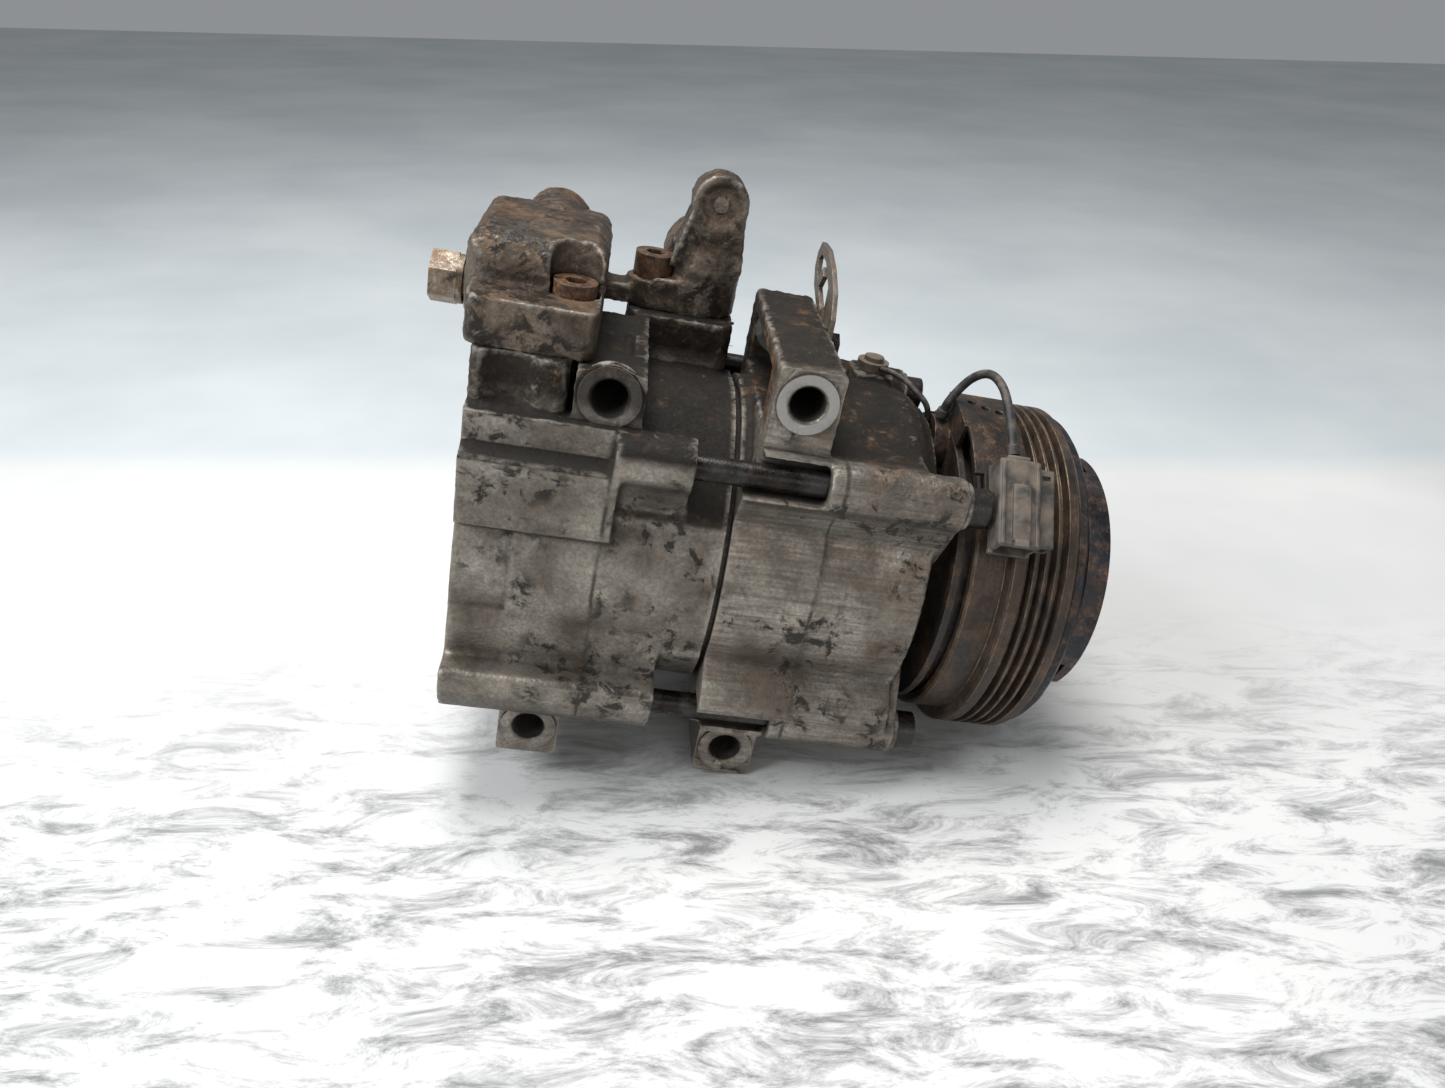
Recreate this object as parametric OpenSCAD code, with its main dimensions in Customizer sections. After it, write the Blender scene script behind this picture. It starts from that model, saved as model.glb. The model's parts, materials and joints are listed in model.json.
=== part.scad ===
// Swash-plate air-conditioning compressor with electromagnetic clutch.
// Five double-ended pistons, two-piece aluminium housing, four-groove poly-V pulley.
// +X runs along the shaft towards the pulley, +Z is up, and the four lugs face -Y.
// The origin is on the shaft axis, at the middle of the belt grooves.

/* [Housing] */
// Outer radius of the round barrel
body_r = 52.5; // [50.5:0.5:54]
// Rear face of the rear housing, measured back from the belt centre
rear_x = -181; // [-190:1:-178]
// Distance of each through bolt from the shaft axis, sideways
bolt_y = 47.5; // [46:0.5:49]
// Distance of each through bolt from the shaft axis, up or down
bolt_z = 43; // [42:0.5:45]
// Outer radius of each bolt boss
boss_r = 8.3; // [7.5:0.1:9]
// Diameter of the through bolts
bolt_d = 8; // [6:1:8]

/* [Mounting lugs] */
// Diameter of the four mounting holes
lug_hole = 10.5; // [8.5:0.5:11]
// Width of each lug along the shaft
lug_w = 20; // [18:0.5:22]
// Machined front face of the lugs, behind the belt axis plane
lug_face_y = -46; // [-48:0.5:-44]
// Depth of the lugs from the machined face to the back face
lug_depth = 81; // [70:1:86]
// Radius of the machined spot face round a hole
spot_r = 9.6; // [8:0.1:9.8]

/* [Pulley] */
// Outer radius over the belt ribs
pulley_r = 58.2; // [56:0.1:62]
// Number of belt grooves
grooves = 4; // [3:1:4]
// Pitch of the belt grooves
groove_pitch = 3.56; // [3.4:0.02:3.6]
// Depth of the belt grooves
groove_depth = 2.9; // [2:0.1:3.2]
// Radius of the smooth band behind the grooves
band_r = 53.6; // [53:0.1:55]

/* [Clutch] */
// Air gap between armature plate and pulley when the clutch is off
air_gap = 0.5; // [0.35:0.05:0.8]
// Outer radius of the armature plate
plate_r = 56; // [54:0.5:57]
// Number of hub lobes and leaf springs
lobes = 3; // [3:1:3]

/* [Pump] */
// Number of double-ended pistons
pistons = 5; // [5:1:5]
// Radius of the circle that the pistons stand on
piston_pcr = 31; // [30:0.5:31.5]
// Piston bore radius
bore_r = 14.5; // [13:0.1:14.8]
// Tilt of the swash plate
swash_tilt = 19; // [14:0.5:19]
// Radius of the shaft in its bearings
shaft_r = 8; // [7.5:0.1:8]

/* [Hidden] */
$fn = 64;

// Stations along the shaft
seam_x = -100;
seam_gap = 1.2;
front_x = -34.5;
boss_front_x = -31.5;
front_boss_x = -74;
step_x = -69.5;
ledge_z = 38.4;
rear_boss_x = -114;
thread_len = 20;
pump_mid_x = -107;
block_half = 53.4;
reed_t = 0.4;
valve_t = 2.6;
gasket_t = 0.6;
bore_in_r = 48;
block_r = 47.9;
chamber_depth = 10;
nose_r = 17.5;
nose_end_x = 10;
bearing_x0 = -15;
bearing_x1 = 7;
coil_back_x = -27;
rim_back_x = -21.7;
rim_front_x = 10.4;
lug_back_y = lug_face_y + lug_depth;
hub_angle = 31;
rear_lug_back_y = 12;

// Mounting holes as [centre x, centre z]
rear_top_hole = [-141, 59.5];
front_top_hole = [-84.7, 66.5];
rear_low_hole = [-152, -61.3];
front_low_hole = [-84.8, -61.3];
lug_foot_z = -72;

// Manifold places
manifold_z = 67;
left_screw = [-155, -22];
right_screw = [-131.5, 27];
left_port = [-165, 12];
right_port = [-115, 29];
relief_at = [-5, 74];

// Wire clip on the side of the upper front lug, its screw as [y, z]
clip_x = front_top_hole[0] + lug_w / 2;
clip_screw_at = [5.5, 69];

alu = [0.52, 0.49, 0.45];
alu_light = [0.66, 0.65, 0.62];
cast_brown = [0.42, 0.37, 0.32];
steel = [0.55, 0.55, 0.56];
dark_steel = [0.18, 0.18, 0.19];
rust = [0.30, 0.22, 0.17];
rubber = [0.08, 0.08, 0.08];
copper = [0.72, 0.42, 0.22];

// A round bar along X from x0 to x1
module xbar(x0, x1, r, fn = 64) {
    translate([x0, 0, 0]) rotate([0, 90, 0]) cylinder(h = x1 - x0, r = r, $fn = fn);
}

// A ring along X
module xring(x0, x1, ro, ri, fn = 96) {
    difference() {
        xbar(x0, x1, ro, fn);
        xbar(x0 - 1, x1 + 1, ri, fn);
    }
}

// A flat outline drawn as [y, z], given a length along X
module along_x(x0, x1) {
    translate([x0, 0, 0]) rotate([90, 0, 90]) linear_extrude(x1 - x0) children();
}

// A bar along +Y
module ybar(x, z, y0, y1, r, fn = 48) {
    translate([x, y1, z]) rotate([90, 0, 0]) cylinder(h = y1 - y0, r = r, $fn = fn);
}

// A body turned about the X axis, from a profile given as [radius, x]
module turned() {
    rotate([0, 90, 0]) rotate_extrude($fn = 96) children();
}

// A box between two corners
module box(a, b) {
    translate(a) cube(b - a);
}

// A box with its four vertical edges rounded
module post(a, b, r) {
    s = b - a;
    translate([a[0], a[1], a[2]]) linear_extrude(s[2]) translate([r, r])
        offset(r = r, $fn = 24) square([s[0] - 2 * r, s[1] - 2 * r]);
}

// Runs its children at each of the four bolt places
module at_bolts() {
    for (sy = [-1, 1], sz = [-1, 1]) translate([0, sy * bolt_y, sz * bolt_z]) children();
}

// Runs its children round the shaft, n times
module around(n, start = 0) {
    for (i = [0 : n - 1]) rotate([start + i * 360 / n, 0, 0]) children();
}

// Boss and web for one bolt, mirrored to all four corners
module corner_bosses(x0, x1) {
    web_w = 2 * boss_r - 1;
    at_bolts() xbar(x0, x1, boss_r);
    for (sy = [-1, 1], sz = [-1, 1]) scale([1, sy, sz])
        along_x(x0, x1) polygon([[20, 20], [bolt_y - boss_r * 0.72, bolt_z + boss_r * 0.62],
            [bolt_y + boss_r * 0.62, bolt_z - boss_r * 0.72], [38, 12]]);
}

// Outline of the rail along an upper corner of the rear housing
module upper_rail_2d() {
    polygon([[0, 20], [0, 51], [49.5, 51], [48.9, 41.2], [55.3, 39.6], [55.6, 37.2],
        [53.2, 30], [52.2, 16], [30, 10]]);
}

// Outline of the rail along a lower corner of the rear housing
module lower_rail_2d() {
    polygon([[20, -20], [50, -14], [49.5, -31.5], [59.4, -31.3], [61, -33], [60.2, -39],
        [57.6, -45], [53.6, -49.6], [48.5, -51.5], [20, -51.5]]);
}

// Outline of the lower rail along the front housing
module front_rail_2d() {
    polygon([[20, -20], [46, -22], [52.6, -28], [56.4, -32.4], [57, -36], [55.6, -41.5], [51, -46],
        [48, -51.5], [20, -51.5]]);
}

/* ------------------------------------------------------------------ housing */

// Solid outside of a mounting lug with its spot face
module lug(c, z0, z1, y0 = lug_face_y + 1, y1 = lug_back_y) {
    box([c[0] - lug_w / 2, y0, z0], [c[0] + lug_w / 2, y1, z1]);
    ybar(c[0], c[1], lug_face_y, lug_face_y + 2, spot_r);
}

module lug_bore(c, y1 = lug_back_y + 2) {
    ybar(c[0], c[1], lug_face_y - 2, y1, lug_hole / 2);
}

// Gas chambers between an end wall and the valve plate
module head_chambers(x0, x1) {
    xring(x0, x1, 44.5, 26.5);
    xring(x0, x1, 23.5, 12);
}

module rear_housing() {
    x_end = seam_x - seam_gap / 2;
    inner_x = pump_mid_x - block_half - reed_t - valve_t - gasket_t;
    color(alu) difference() {
        union() {
            // barrel, with the thinner waist round the head
            xbar(inner_x + 1, x_end, body_r, 128);
            xbar(rear_x, inner_x + 2, body_r - 1.6, 128);
            // rails and bosses at the corners
            for (sy = [-1, 1]) scale([1, sy, 1]) {
                along_x(rear_x, -135) upper_rail_2d();
                along_x(rear_x, rear_boss_x) lower_rail_2d();
            }
            corner_bosses(-137, rear_boss_x);
            // pedestals under the manifold
            post([rear_x, -45, 30], [-153, 36, manifold_z], 4);
            post([-138, rear_lug_back_y + 0.6, 30], [-102.5, 45, manifold_z], 5);
            // mounting lugs
            lug(rear_top_hole, 40, 66.5, lug_face_y + 1, rear_lug_back_y);
            lug(rear_low_hole, lug_foot_z, -40);
        }
        // bore for the cylinder block, spigot counterbore, chambers
        xbar(inner_x, seam_x + 5, bore_in_r, 128);
        xbar(seam_x - 4, seam_x + 5, 50.1, 128);
        head_chambers(inner_x - chamber_depth, inner_x + 0.01);
        xbar(inner_x - 7, inner_x + 1, 9.5);
        // tapped holes for the through bolts, and room for their shanks
        at_bolts() xbar(rear_boss_x - thread_len - 1, rear_boss_x + 1, bolt_d / 2);
        at_bolts() xbar(rear_boss_x, seam_x + 5, bolt_d / 2 + 0.3);
        // concave front of the pedestal, and its hollow back
        translate([-170, -53, 52]) cylinder(h = 20, r = 11.5, $fn = 48);
        translate([-167, 42, 52]) cylinder(h = 20, r = 10, $fn = 48);
        // gas passages up to the manifold
        for (p = [left_port, right_port])
            translate([p[0], p[1], 40]) cylinder(h = 40, r = 7, $fn = 40);
        // tapped holes for the manifold screws
        translate([left_screw[0], left_screw[1], 54]) cylinder(h = 20, r = 4, $fn = 40);
        translate([right_screw[0], right_screw[1], 54]) cylinder(h = 20, r = 4, $fn = 40);
        // pocket in the top of the upper lug, and the mounting bores
        box([-144.5, -27, 55], [-135.5, -7, 70]);
        ybar(rear_top_hole[0], rear_top_hole[1], -27, -7, lug_hole / 2 + 0.6);
        lug_bore(rear_top_hole, rear_lug_back_y + 0.4);
        lug_bore(rear_low_hole);
        box([-158, -26, -73], [-146, 16, -69]);
    }
}

module front_housing() {
    x_end = seam_x + seam_gap / 2;
    inner_x = pump_mid_x + block_half + reed_t + valve_t + gasket_t;
    color(alu_light) difference() {
        union() {
            xbar(x_end, front_x, body_r, 128);
            // spigot into the rear housing
            xbar(seam_x - 4, x_end + 1, 50, 128);
            // slightly thicker barrel beside the seam, ledges under the bolts, rails below
            xbar(x_end, step_x, body_r + 0.8, 128);
            intersection() {
                corner_bosses(x_end, front_boss_x + 1);
                box([x_end, -70, -ledge_z], [front_boss_x + 1, 70, ledge_z]);
            }
            corner_bosses(front_boss_x, boss_front_x);
            for (sy = [-1, 1]) scale([1, sy, 1]) along_x(x_end, -36) difference() {
                front_rail_2d();
                translate([bolt_y, -bolt_z]) circle(r = boss_r + 0.01, $fn = 48);
            }
            // raised shoulder over the front gas chamber
            intersection() {
                turned() polygon([[10, front_boss_x], [57.4, front_boss_x], [57.4, -44],
                    [55.6, -39.5], [51.5, -35.5], [46, front_x + 0.2], [10, front_x + 0.2]]);
                along_x(-80, -30) polygon([[-43, 34], [-30, 58], [30, 58], [43, 34], [0, 20]]);
            }
            // ledge beside the upper front boss
            box([front_boss_x, -44, 36], [-41.5, -20, 49.8]);
            // nose for the pulley bearing, and the coil seat behind it
            xbar(front_x - 1, coil_back_x, 31);
            xbar(front_x - 1, nose_end_x, nose_r);
            // mounting lugs
            lug(front_top_hole, 42, 76.5);
            lug(front_low_hole, lug_foot_z, -40);
            // foot of the switch
            post([-58, 14, 48], [-44, 30, 58.5], 3);
        }
        xbar(seam_x - 6, inner_x, bore_in_r, 128);
        head_chambers(inner_x - 0.01, inner_x + chamber_depth);
        // shaft passage, seal seat and snap ring groove
        xbar(inner_x - 1, front_x + 2, shaft_r + 1.5);
        xbar(front_x + 1, nose_end_x + 1, 11);
        xring(-2.6, -1.2, 12, 10);
        // grooves for the coil ring and the bearing ring
        xring(bearing_x1, bearing_x1 + 1.4, 19, nose_r - 1);
        xring(-22.8, -21.4, 19, nose_r - 1);
        // clearance holes for the through bolts
        at_bolts() xbar(seam_x - 6, boss_front_x + 1, bolt_d / 2 + 0.3);
        // o-ring groove round the spigot
        xring(seam_x - 2.9, seam_x - 1.1, 52, 48.9, 128);
        // hollow side of the upper lug, leaving a web, a front leg and a rear leg
        box([-100, -30, 54], [-80.5, 24, 70.2]);
        lug_bore(front_top_hole);
        lug_bore(front_low_hole);
        box([-91, -26, -73], [-79, 16, -69]);
        // tapped hole for the clip screw
        translate([0, clip_screw_at[0], clip_screw_at[1]]) xbar(clip_x - 4, clip_x + 5, 2.5, 32);
    }
}

module housing_o_ring() {
    color(rubber) turned() translate([49.5, seam_x - 2]) circle(r = 0.6, $fn = 24);
}

module through_bolts() {
    color(dark_steel) at_bolts() difference() {
        union() {
            xbar(rear_boss_x - thread_len, boss_front_x + 1.2, bolt_d / 2 - 0.01);
            xbar(boss_front_x + 1.2, boss_front_x + 7.5, 6.2, 48);
        }
        xbar(boss_front_x + 3.5, boss_front_x + 8, 3.2, 6);
    }
}

module bolt_washers() {
    color(steel) at_bolts() xring(boss_front_x, boss_front_x + 1.2, 7.2, bolt_d / 2 + 0.1, 48);
}

/* ----------------------------------------------------------------- manifold */

module manifold() {
    lx = left_screw[0];
    ly = left_screw[1];
    rx = right_screw[0];
    ry = right_screw[1];
    elbow_y = 31.5;
    color(cast_brown) difference() {
        union() {
            // left flange, its tall gas box with rounded top, and the screw boss
            post([-184, -41, manifold_z], [-147, 34, 81], 4);
            intersection() {
                post([-187, -24, 69], [-146.5, 34, 96], 7);
                translate([-190, 5, 66]) rotate([0, 90, 0])
                    linear_extrude(50) offset(r = 9, $fn = 24) square([38, 40], center = true);
                translate([-166.75, 50, 68]) rotate([90, 0, 0])
                    linear_extrude(100) offset(r = 8, $fn = 24) square([24.5, 38], center = true);
            }
            translate([lx, ly, manifold_z]) cylinder(h = 9.4, r = 8.4, $fn = 48);
            // bridge
            box([-149, 20, 68], [-138, 31, 74]);
            // right screw boss and foot
            translate([rx, ry, manifold_z]) cylinder(h = 9.4, r = 8.2, $fn = 48);
            box([-131, 19, manifold_z], [-112, 37, 78]);
            // elbow: up from the foot, round a ball and out to the back
            translate([right_port[0], elbow_y, manifold_z]) cylinder(h = 15, r = 12.8, $fn = 64);
            translate([right_port[0], 52, 82]) rotate([90, 0, 0]) cylinder(h = 52 - elbow_y, r = 13, $fn = 64);
            translate([right_port[0], elbow_y, 82]) sphere(r = 13.2, $fn = 64);
            // bolt ear above the port
            translate([-113.3, 34, 104]) rotate([90, 0, 0]) cylinder(h = 13, r = 9.2, $fn = 48);
            translate([0, 34, 0]) rotate([90, 0, 0]) linear_extrude(13)
                polygon([[-127.3, 82], [-122, 101.6], [-104.6, 101.6], [-102.4, 82]]);
            // port of the left box
            translate([-165, 50, 84]) rotate([90, 0, 0]) cylinder(h = 30, r = 11, $fn = 64);
            // seat of the relief valve
            translate([0, relief_at[0], relief_at[1]]) xbar(-188.5, -180, relief_at[1] - manifold_z);
        }
        // recess round the left screw
        translate([lx, ly, 76.4]) cylinder(h = 30, r = 7.6, $fn = 48);
        translate([rx, ry, 76.4]) cylinder(h = 12, r = 6.9, $fn = 48);
        box([lx + 1, ly - 26, 81.2], [lx + 14, ly + 4, 84]);
        // bored ports and passages
        translate([right_port[0], 53, 82]) rotate([90, 0, 0]) cylinder(h = 30, r = 8.5, $fn = 48);
        translate([right_port[0], right_port[1], 60]) cylinder(h = 22, r = 7, $fn = 40);
        translate([-165, 51, 82]) rotate([90, 0, 0]) cylinder(h = 48, r = 7.5, $fn = 48);
        translate([left_port[0], left_port[1], 60]) cylinder(h = 22, r = 7, $fn = 40);
        // grooves of the port seals
        for (p = [left_port, right_port])
            translate([p[0], p[1], manifold_z - 1]) difference() {
                cylinder(h = 2.2, r = 9.6, $fn = 48);
                cylinder(h = 5, r = 7.8, $fn = 48);
            }
        // screw holes
        for (p = [left_screw, right_screw])
            translate([p[0], p[1], 60]) cylinder(h = 30, r = 4.4, $fn = 40);
        // hose clamp stud holes, tapped from the back
        translate([-113.3, 35, 104]) rotate([90, 0, 0]) cylinder(h = 12, r = 3.4, $fn = 40);
        translate([-179, 36, 88]) rotate([90, 0, 0]) cylinder(h = 14, r = 3.4, $fn = 40);
        // shallow dished face of the ear with a cast-in mark
        translate([-113.3, 22, 104]) rotate([90, 0, 0]) cylinder(h = 3, r = 6.8, $fn = 48);
        // passage and seat of the relief valve
        translate([0, relief_at[0], relief_at[1]]) {
            xbar(-189, -176, 5.5);
            xbar(-180, -165, 2.5);
        }
    }
    color(cast_brown) translate([-113.3, 22.9, 104]) rotate([90, 0, 0]) cylinder(h = 1.4, r = 2.6, $fn = 32);
}

module manifold_screws() {
    color(rust) for (p = [left_screw, right_screw]) translate([p[0], p[1], 0]) difference() {
        union() {
            translate([0, 0, 56]) cylinder(h = 20.6, r = 3.99, $fn = 40);
            translate([0, 0, 76.4]) cylinder(h = 8, r = 6.5, $fn = 48);
        }
        translate([0, 0, 80]) cylinder(h = 6, r = 3.45, $fn = 6);
    }
}

module manifold_gasket() {
    color(rubber) for (p = [left_port, right_port]) translate([p[0], p[1], manifold_z + 0.6])
        rotate_extrude($fn = 64) translate([8.7, 0]) circle(r = 0.6, $fn = 20);
}

module relief_valve() {
    color([0.74, 0.68, 0.56]) translate([0, relief_at[0], relief_at[1]]) difference() {
        union() {
            xbar(-188.5, -178, 5.45, 48);
            xbar(-198.4, -190.4, 8.1, 6);
            xring(-190.6, -188.5, 7.4, 6.4, 48);
            xbar(-190.6, -188.5, 5.2, 48);
        }
        xbar(-200, -190, 3.6, 48);
        xbar(-195, -176, 1.6, 32);
    }
}

module relief_valve_seal() {
    color(rubber) translate([0, relief_at[0], relief_at[1]])
        turned() translate([5.8, -189.6]) circle(r = 0.5, $fn = 20);
}

/* --------------------------------------------------------------------- pump */

// Cylinder block of one side, with its bores open towards the crank chamber
module cylinder_block() {
    skirt_x = 20;
    difference() {
        xbar(0, block_half, block_r, 128);
        // crank chamber between the bores
        xbar(-1, skirt_x, 46);
        // piston bores
        around(pistons, 90) translate([0, piston_pcr, 0]) xbar(-1, block_half + 1, bore_r);
        // shaft, bearing and thrust seats
        xbar(-1, block_half + 1, shaft_r + 0.4);
        xbar(block_half - 16, block_half + 1, 11);
        // gas passages between the bores
        around(pistons, 90 + 36) translate([0, 40.5, 0]) xbar(-1, block_half + 1, 3.2, 32);
    }
}

module rear_cylinder_block() {
    color(alu_light) translate([pump_mid_x, 0, 0]) rotate([0, 0, 180]) scale([1, -1, 1])
        cylinder_block();
}

module front_cylinder_block() {
    color(alu_light) translate([pump_mid_x + 0.02, 0, 0]) cylinder_block();
}

// A plate with the shaft hole and one hole set for each cylinder
module ported_plate(x0, t, r_in) {
    difference() {
        xbar(x0, x0 + t, block_r, 128);
        xbar(x0 - 1, x0 + t + 1, r_in);
        around(pistons, 90) {
            translate([0, piston_pcr + 7.5, 0]) xbar(x0 - 1, x0 + t + 1, 3.2, 32);
            translate([0, piston_pcr - 10.8, 0]) xbar(x0 - 1, x0 + t + 1, 2.6, 32);
        }
        around(pistons, 90 + 36) translate([0, 40.5, 0]) xbar(x0 - 1, x0 + t + 1, 3.2, 32);
    }
}

// A reed sheet: a tongue is cut free over each port by a U-shaped slot
module reed_sheet(x0) {
    difference() {
        xbar(x0, x0 + reed_t, block_r, 128);
        xbar(x0 - 1, x0 + reed_t + 1, 9.6);
        around(pistons, 90) {
            translate([0, piston_pcr - 10.8, 0]) xbar(x0 - 1, x0 + 2, 2.6, 32);
            translate([x0 - 1, 24, 4.4]) cube([3, 19, 1.2]);
            translate([x0 - 1, 24, -5.6]) cube([3, 19, 1.2]);
            translate([x0 - 1, 43, -5.6]) cube([3, 1.2, 11.2]);
        }
        around(pistons, 90 + 36) translate([0, 40.5, 0]) xbar(x0 - 1, x0 + 2, 3.2, 32);
    }
}

// Star of discharge reeds
module reed_star(x0) {
    difference() {
        union() {
            xbar(x0, x0 + reed_t, 16);
            around(pistons, 90) {
                translate([x0, 0, -3.6]) cube([reed_t, 20.2, 7.2]);
                translate([0, 20.2, 0]) xbar(x0, x0 + reed_t, 3.8, 32);
            }
        }
        xbar(x0 - 1, x0 + 1, 12.5);
    }
}

module head_gasket(x0) {
    difference() {
        xbar(x0, x0 + gasket_t, block_r, 128);
        xbar(x0 - 1, x0 + 2, 26.5);
        around(pistons, 90) translate([0, piston_pcr + 7.5, 0]) xbar(x0 - 1, x0 + 2, 5, 32);
        around(pistons, 90 + 36) translate([0, 40.5, 0]) xbar(x0 - 1, x0 + 2, 3.8, 32);
    }
}

rear_block_x = pump_mid_x - block_half;
front_block_x = pump_mid_x + block_half + 0.02;

module rear_suction_reed() {
    color(steel) reed_sheet(rear_block_x - reed_t);
}

module front_suction_reed() {
    color(steel) reed_sheet(front_block_x);
}

module rear_valve_plate() {
    color(dark_steel) ported_plate(rear_block_x - reed_t - valve_t, valve_t, 9.6);
}

module front_valve_plate() {
    color(dark_steel) ported_plate(front_block_x + reed_t, valve_t - 0.02, 9.6);
}

module rear_discharge_reed() {
    color(steel) reed_star(rear_block_x - 2 * reed_t - valve_t);
}

module front_discharge_reed() {
    color(steel) reed_star(front_block_x + reed_t + valve_t - 0.02);
}

module rear_head_gasket() {
    color("dimgray") head_gasket(rear_block_x - reed_t - valve_t - gasket_t);
}

module front_head_gasket() {
    color("dimgray") head_gasket(front_block_x + reed_t + valve_t - 0.02);
}

disc_r = 39;
disc_t = 8;
shoe_r = 7.4;
shoe_ball_r = 11.5;
slot_half = 9.6;
head_half = 42;

// Shift of a piston that stands at angle a, by the tilt of the disc there
function piston_shift(a) = piston_pcr * sin(a) * tan(swash_tilt);

module swash_plate() {
    color(steel) translate([pump_mid_x, 0, 0]) difference() {
        union() {
            rotate([0, swash_tilt, 0]) xbar(-disc_t / 2, disc_t / 2, disc_r, 96);
            xbar(-13, 13, 14.5);
        }
        xbar(-30, 30, shaft_r + 0.06);
    }
}

// Double-ended piston, number i from 0, with a slot that straddles the disc
module piston(i) {
    a = 90 + i * 360 / pistons;
    color(alu_light) translate([pump_mid_x + piston_shift(a), 0, 0]) rotate([a, 0, 0])
        translate([0, piston_pcr, 0]) difference() {
            xbar(-head_half, head_half, bore_r - 0.03, 64);
            // slot for the disc, open towards the shaft
            box([-slot_half, -20, -20], [slot_half, 9.4, 20]);
            sphere(r = shoe_ball_r + 0.05, $fn = 48);
            // ring grooves
            for (s = [-1, 1]) translate([s * (head_half - 5), 0, 0])
                xring(-0.9, 0.9, bore_r + 1, bore_r - 1.1, 64);
        }
}

module piston_1() { piston(0); }
module piston_2() { piston(1); }
module piston_3() { piston(2); }
module piston_4() { piston(3); }
module piston_5() { piston(4); }

module piston_shoes() {
    color(steel) for (i = [0 : pistons - 1]) {
        a = 90 + i * 360 / pistons;
        translate([pump_mid_x + piston_shift(a), 0, 0]) rotate([a, 0, 0])
            translate([0, piston_pcr, 0]) rotate([-a, 0, 0]) difference() {
                intersection() {
                    sphere(r = shoe_ball_r, $fn = 48);
                    rotate([0, swash_tilt, 0]) xbar(-20, 20, shoe_r, 40);
                }
                rotate([0, swash_tilt, 0]) xbar(-disc_t / 2 - 0.02, disc_t / 2 + 0.02, 20, 40);
            }
    }
}

// Needle bearing: an outer shell with a ring of rollers
module needle_bearing(x0, x1) {
    roller_r = 1.15;
    xring(x0, x1, 10.98, 2 * roller_r + shaft_r + 0.08, 64);
    around(14) translate([0, shaft_r + roller_r + 0.04, 0]) xbar(x0 + 1, x1 - 1, roller_r, 20);
}

module rear_needle_bearing() {
    color(steel) needle_bearing(rear_block_x + 0.4, rear_block_x + 15.6);
}

module front_needle_bearing() {
    color(steel) needle_bearing(front_block_x - 15.6, front_block_x - 0.4);
}

// Thrust bearing: two races and a ring of radial rollers
module thrust_bearing(x0) {
    t = 6.9;
    xring(x0, x0 + 1.8, 14.5, shaft_r + 0.3, 64);
    xring(x0 + t - 1.8, x0 + t, 14.5, shaft_r + 0.3, 64);
    around(10) translate([x0 + t / 2, 0, 0]) rotate([-90, 0, 0])
        translate([0, 0, 9.4]) cylinder(h = 4.4, r = t / 2 - 1.81, $fn = 20);
}

module rear_thrust_bearing() {
    color(steel) thrust_bearing(pump_mid_x - 19.95);
}

module front_thrust_bearing() {
    color(steel) thrust_bearing(pump_mid_x + 13.05);
}

module shaft() {
    color(steel) difference() {
        union() {
            xbar(rear_block_x - 8, front_x + 4, shaft_r, 64);
            xbar(front_x + 3, 11, shaft_r - 0.8, 64);
            xbar(10, 22.6, 4.9, 48);
        }
        // keyway of the hub, and the centre drillings
        box([-1, -1.5, 5.2], [10.6, 1.5, 8]);
        xbar(20.6, 24, 1.5, 24);
    }
}

module shaft_seal() {
    color(rubber) {
        xring(-20, -15.2, 10.95, 7.3, 64);
        xring(-14.8, -9, 10.95, 7.6, 64);
    }
}

module seal_snap_ring() {
    color(steel) difference() {
        xring(-2.5, -1.3, 11.8, 9.6, 64);
        box([-4, -1.5, 5], [0, 1.5, 15]);
    }
}

/* ------------------------------------------------------------------- clutch */

coil_front_x = 2.2;
coil_out_r = 48.6;
coil_in_r = 30.2;

module coil_shell() {
    color(rust) {
        difference() {
            xring(coil_back_x + 2.4, coil_front_x, coil_out_r, coil_in_r, 128);
            xring(-21, coil_front_x + 1, 45.6, 33.2, 128);
        }
        // mounting plate
        difference() {
            xring(coil_back_x, coil_back_x + 2.4, 51.2, nose_r + 0.05, 128);
            around(3, 30) translate([0, 25.5, 0]) xbar(coil_back_x - 1, 0, 3, 32);
        }
        // lead exit turret
        translate([0, 0, 44]) intersection() {
            xbar(coil_back_x - 5, coil_back_x, 9, 48);
            box([-40, -9, -9], [0, 9, 10]);
        }
    }
}

module coil_winding() {
    color([0.20, 0.10, 0.06]) xring(-20.9, coil_front_x - 0.5, 45.5, 33.3, 128);
}

module coil_snap_ring() {
    color(steel) difference() {
        xring(-22.7, -21.5, 19.6, nose_r - 0.9, 64);
        box([-24, -1.5, 10], [-20, 1.5, 25]);
    }
}

// Sheet strap that arches over the smooth band and carries the connector
strap_r0 = 59.2;
strap_r1 = 60.6;

module connector_bracket() {
    strap = [[0, 0], [-66, 50], [-66, 95], [8, 95]];
    upper = [[0, 0], [-50, 70], [-50, 95], [8, 95]];
    color([0.36, 0.33, 0.31]) {
        difference() {
            union() {
                intersection() {
                    xring(-22.6, -8, strap_r1, strap_r0, 128);
                    along_x(-30, 0) polygon(strap);
                }
                intersection() {
                    xring(-25.6, -22.5, strap_r1, strap_r0, 128);
                    along_x(-30, 0) polygon(upper);
                }
            }
            // lightening slots at the top
            for (p = [[-21.5, -3], [-17.5, -6], [-13, -7.5]]) translate([p[0], p[1], 50])
                cylinder(h = 20, r = 1.5, $fn = 24);
        }
        // leg down to the coil plate
        intersection() {
            xring(coil_back_x + 0.01, coil_back_x + 1.41, strap_r1, 51.25, 128);
            along_x(-30, 0) polygon([[0, 0], [-30, 95], [8, 95]]);
        }
    }
}

conn_angle = 44;

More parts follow.
